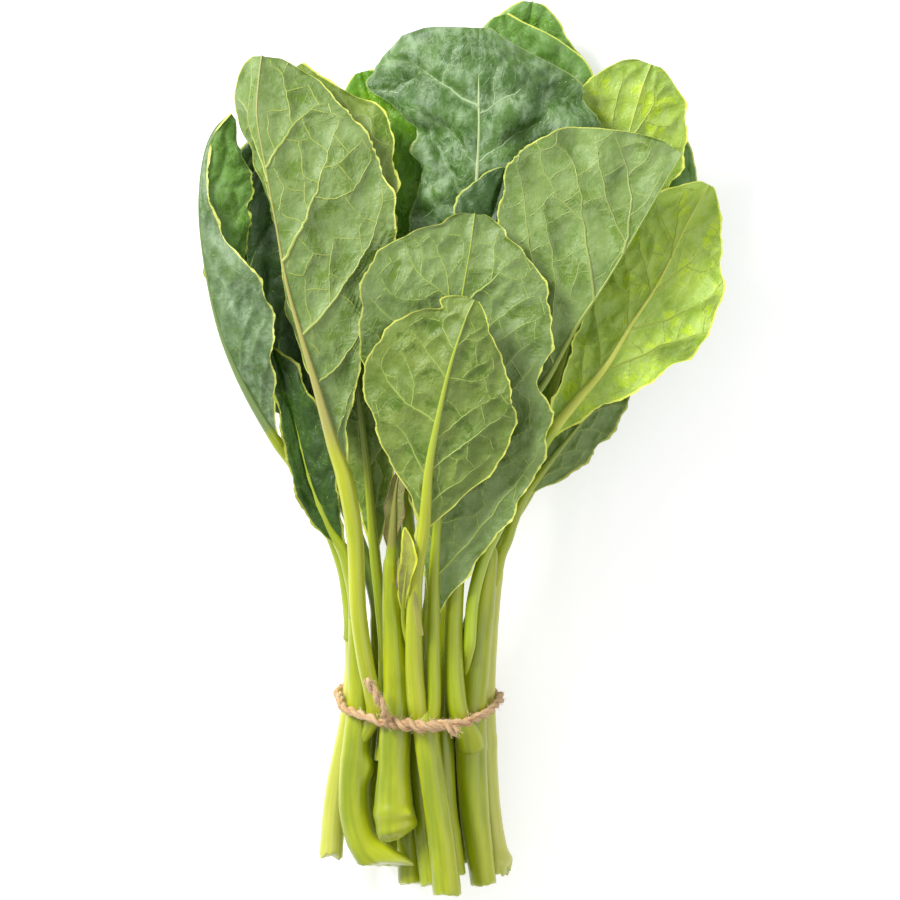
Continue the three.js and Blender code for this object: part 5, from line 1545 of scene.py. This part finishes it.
def tiedCircles():
    # where the stalks and two leaf stems cross the plane of the tie
    circles = []
    held = [(stalk["path"], stalk["girth"]) for stalk in stalks.values()]
    held += [(leaves[name]["path"], leaves[name]["stem"]) for name in ("leaf_left_tall", "leaf_right_upper")]
    shares = np.linspace(0, 1, 201)
    for path, girth in held:
        at = Route(path).frameAt(shares)[0]
        past = at[:, 1] >= twine["tieY"] - twine["slope"] * (at[:, 2] - twine["tieZ"])
        first = int(np.argmax(past))
        if first > 0:
            circles.append((at[first, 0], at[first, 2], float(along(girth, shares[first]))))
    return np.array(circles)


def ringSpots(count):
    # the pulled tight outline round everything the twine holds
    circles = tiedCircles()
    outline = []
    for degree in range(360):
        dx, dz = math.cos(math.radians(degree)), math.sin(math.radians(degree))
        x, z, girth = circles[np.argmax(circles[:, 0] * dx + circles[:, 1] * dz + circles[:, 2])]
        outline.append((x + dx * (girth + twine["clear"]), z + dz * (girth + twine["clear"])))
    outline = np.array(outline + outline[:1])
    reach = runLength(outline)
    even = np.arange(count) / count * reach[-1]
    x, z = (np.interp(even, reach, outline[:, k]) for k in (0, 1))
    return np.stack([x, twine["tieY"] - twine["slope"] * (z - twine["tieZ"]), z], -1), reach[-1]


def growRope(name, spots, turns, fray, slack, girth, seed, closed):
    # side and rise are two directions across the rope, carried along with it
    steps = np.roll(spots, -1, 0) - np.roll(spots, 1, 0) if closed else np.gradient(spots, axis=0)
    heading = unit(steps)
    plane = unit(np.array([0, 1, twine["slope"]]))
    side = unit(plane - heading * (heading @ plane)[:, None])
    rise = np.cross(heading, side)
    mesh = lineMesh(name, spots, {
        "side": side, "rise": rise, "heading": heading,
        "roll": turns * math.tau * np.linspace(0, 1, len(spots)),
        "reachAlong": runLength(spots) / 10, "fray": fray, "slack": slack, "girth": girth * mm}, closed)
    return growMesh(twistedRope, mesh, {
        "Strands": 2, "Sides": twine["sides"], "Apart": twine["apart"] * mm,
        "Fibres per Area": twine["fibresPerArea"], "Fibre Length": twine["fibreLength"] * mm, "Seed": seed,
        "Material": straw}, name)


def makeTwine():
    ring, ringLength = ringSpots(twine["steps"])
    low, high = twine["knot"]
    isTop = ring[:, 2] > twine["tieZ"]
    soft = twine["knotFade"]
    lift = np.where(isTop, fade(ring[:, 0], low, low + soft) * fade(ring[:, 0], high, high - soft), 0)
    turn = (ring[:, 0] - low) / twine["knotPitch"] * math.tau
    across = np.array([0, 1, 0]) * np.cos(turn)[:, None] + upward * np.sin(turn)[:, None]
    wound = ring + (across * twine["knotApart"] + upward * twine["ringRise"]) * lift[:, None]
    even = np.ones(len(ring))
    turns = round(ringLength / twine["pitch"])
    meshes = [growRope("twineRing", wound, turns, twine["fray"] * even, even, even * twine["strand"], 4, True)]

    # the loose rope: from the upper end, round the ring, to the short cut end
    across = -across * twine["knotApart"] + upward * twine["looseRise"]
    order = np.argsort(ring[:, 0])
    x = ring[order, 0]
    inside = order[isTop[order] & (x > twine["looseFrom"]) & (x < twine["looseTo"])]
    top = np.array([0, 0, ring[inside, 2].max()])
    partner = ring[inside] + across[inside]
    leaving = np.array([0, 0, partner[-1, 2]])
    upperEnd = Route(np.vstack([twine["upperEnd"] + top, partner[4]])).spots[:-8]
    shortEnd = Route(np.vstack([partner[-2], twine["shortEnd"] + leaving])).spots[6:]
    loose = np.vstack([upperEnd, partner[8:-6], shortEnd])
    reach = runLength(loose)
    even = np.linspace(0, reach[-1], int(reach[-1] / twine["looseStep"]))
    loose = np.stack([np.interp(even, reach, loose[:, k]) for k in range(3)], -1)
    upper, short = twine["openReach"]
    ends = np.exp(-even / upper) + np.exp(-(reach[-1] - even) / short)
    fray, endFray = twine["looseFray"]
    thick, thinner = twine["looseGirth"]
    meshes.append(growRope("twineLoose", loose, reach[-1] / twine["pitch"], fray + endFray * ends,
                           1 + twine["openSlack"] * ends, twine["strand"] * (thick - thinner * ends), 9, False))
    for mesh in meshes:
        placeInFrame(mesh)
    settle(joinPiece("twine_wrap_skin", meshes), "twine_wrap")
    print("twine made, ring", round(ringLength), "mm round, loose rope", round(reach[-1]), "mm")


straw = buildStraw()
twistedRope = buildRope()
makeTwine()


# ---- floor, light and camera

studio = {"cameraAway": 12.0, "fieldWidth": 0.342, "cameraSide": -3.4, "floorHalf": 6.0, "floorLift": 0.5,
          "room": 0.5}
lamps = {"softboxLeft": {"place": (-1.15, 1.0, 1.0), "size": 0.75, "power": 38},
         "softboxRight": {"place": (1.2, -0.3, 1.3), "size": 1.2, "power": 5}}


def makeFloor():
    half = studio["floorHalf"]
    mesh = bpy.data.meshes.new("floor")
    corners = [(-half, -half, 0), (half, -half, 0), (half, half, 0), (-half, half, 0)]
    mesh.from_pydata(corners, [], [(0, 1, 2, 3)])
    floor = bpy.data.objects.new("floor", mesh)
    bpy.context.scene.collection.objects.link(floor)
    material, n, shader, output = startMaterial("palePaper")
    shader.inputs["Base Color"].default_value = (0.9, 0.9, 0.9, 1)
    shader.inputs["Roughness"].default_value = 0.9
    shader.inputs["Specular IOR Level"].default_value = 0.1
    strength = n.times(n.seenDirectly(), studio["floorLift"])
    lift = n.add("ShaderNodeEmission", {"Color": (1, 1, 1, 1), "Strength": strength})
    both = n.add("ShaderNodeAddShader", {0: shader.outputs[0], 1: lift.outputs[0]})
    n.put(output.inputs["Surface"], both.outputs[0])
    mesh.materials.append(material)


def makeLamp(name, place, size, power):
    light = bpy.data.lights.new(name, "AREA")
    light.shape = "DISK"
    light.size = size
    light.energy = power
    lamp = bpy.data.objects.new(name, light)
    bpy.context.scene.collection.objects.link(lamp)
    lamp.location = place
    towards = Vector((0, 0, 0.03)) - Vector(place)
    lamp.rotation_euler = towards.to_track_quat("-Z", "Y").to_euler()


def makeStudio():
    makeFloor()
    for name, lamp in lamps.items():
        makeLamp(name, **lamp)
    world = bpy.data.worlds.new("paleRoom")
    bpy.context.scene.world = world
    world.use_nodes = True
    world.node_tree.nodes.clear()
    n = Nodes(world.node_tree)
    strength = n.blend(n.seenDirectly(), studio["room"], 1.0)
    back = n.add("ShaderNodeBackground", {"Color": (1, 1, 1, 1), "Strength": strength})
    output = n.add("ShaderNodeOutputWorld")
    n.put(output.inputs["Surface"], back.outputs[0])
    bpy.context.scene.view_settings.view_transform = "Standard"


def makeCamera():
    lens = bpy.data.cameras.new("longLens")
    lens.sensor_width = 36
    lens.lens = lens.sensor_width * studio["cameraAway"] / studio["fieldWidth"]
    camera = bpy.data.objects.new("camera", lens)
    bpy.context.scene.collection.objects.link(camera)
    camera.location = ((studio["cameraSide"] + shift[0]) * mm, shift[1] * mm, studio["cameraAway"])
    bpy.context.scene.camera = camera


makeStudio()
makeCamera()
print("studio made")
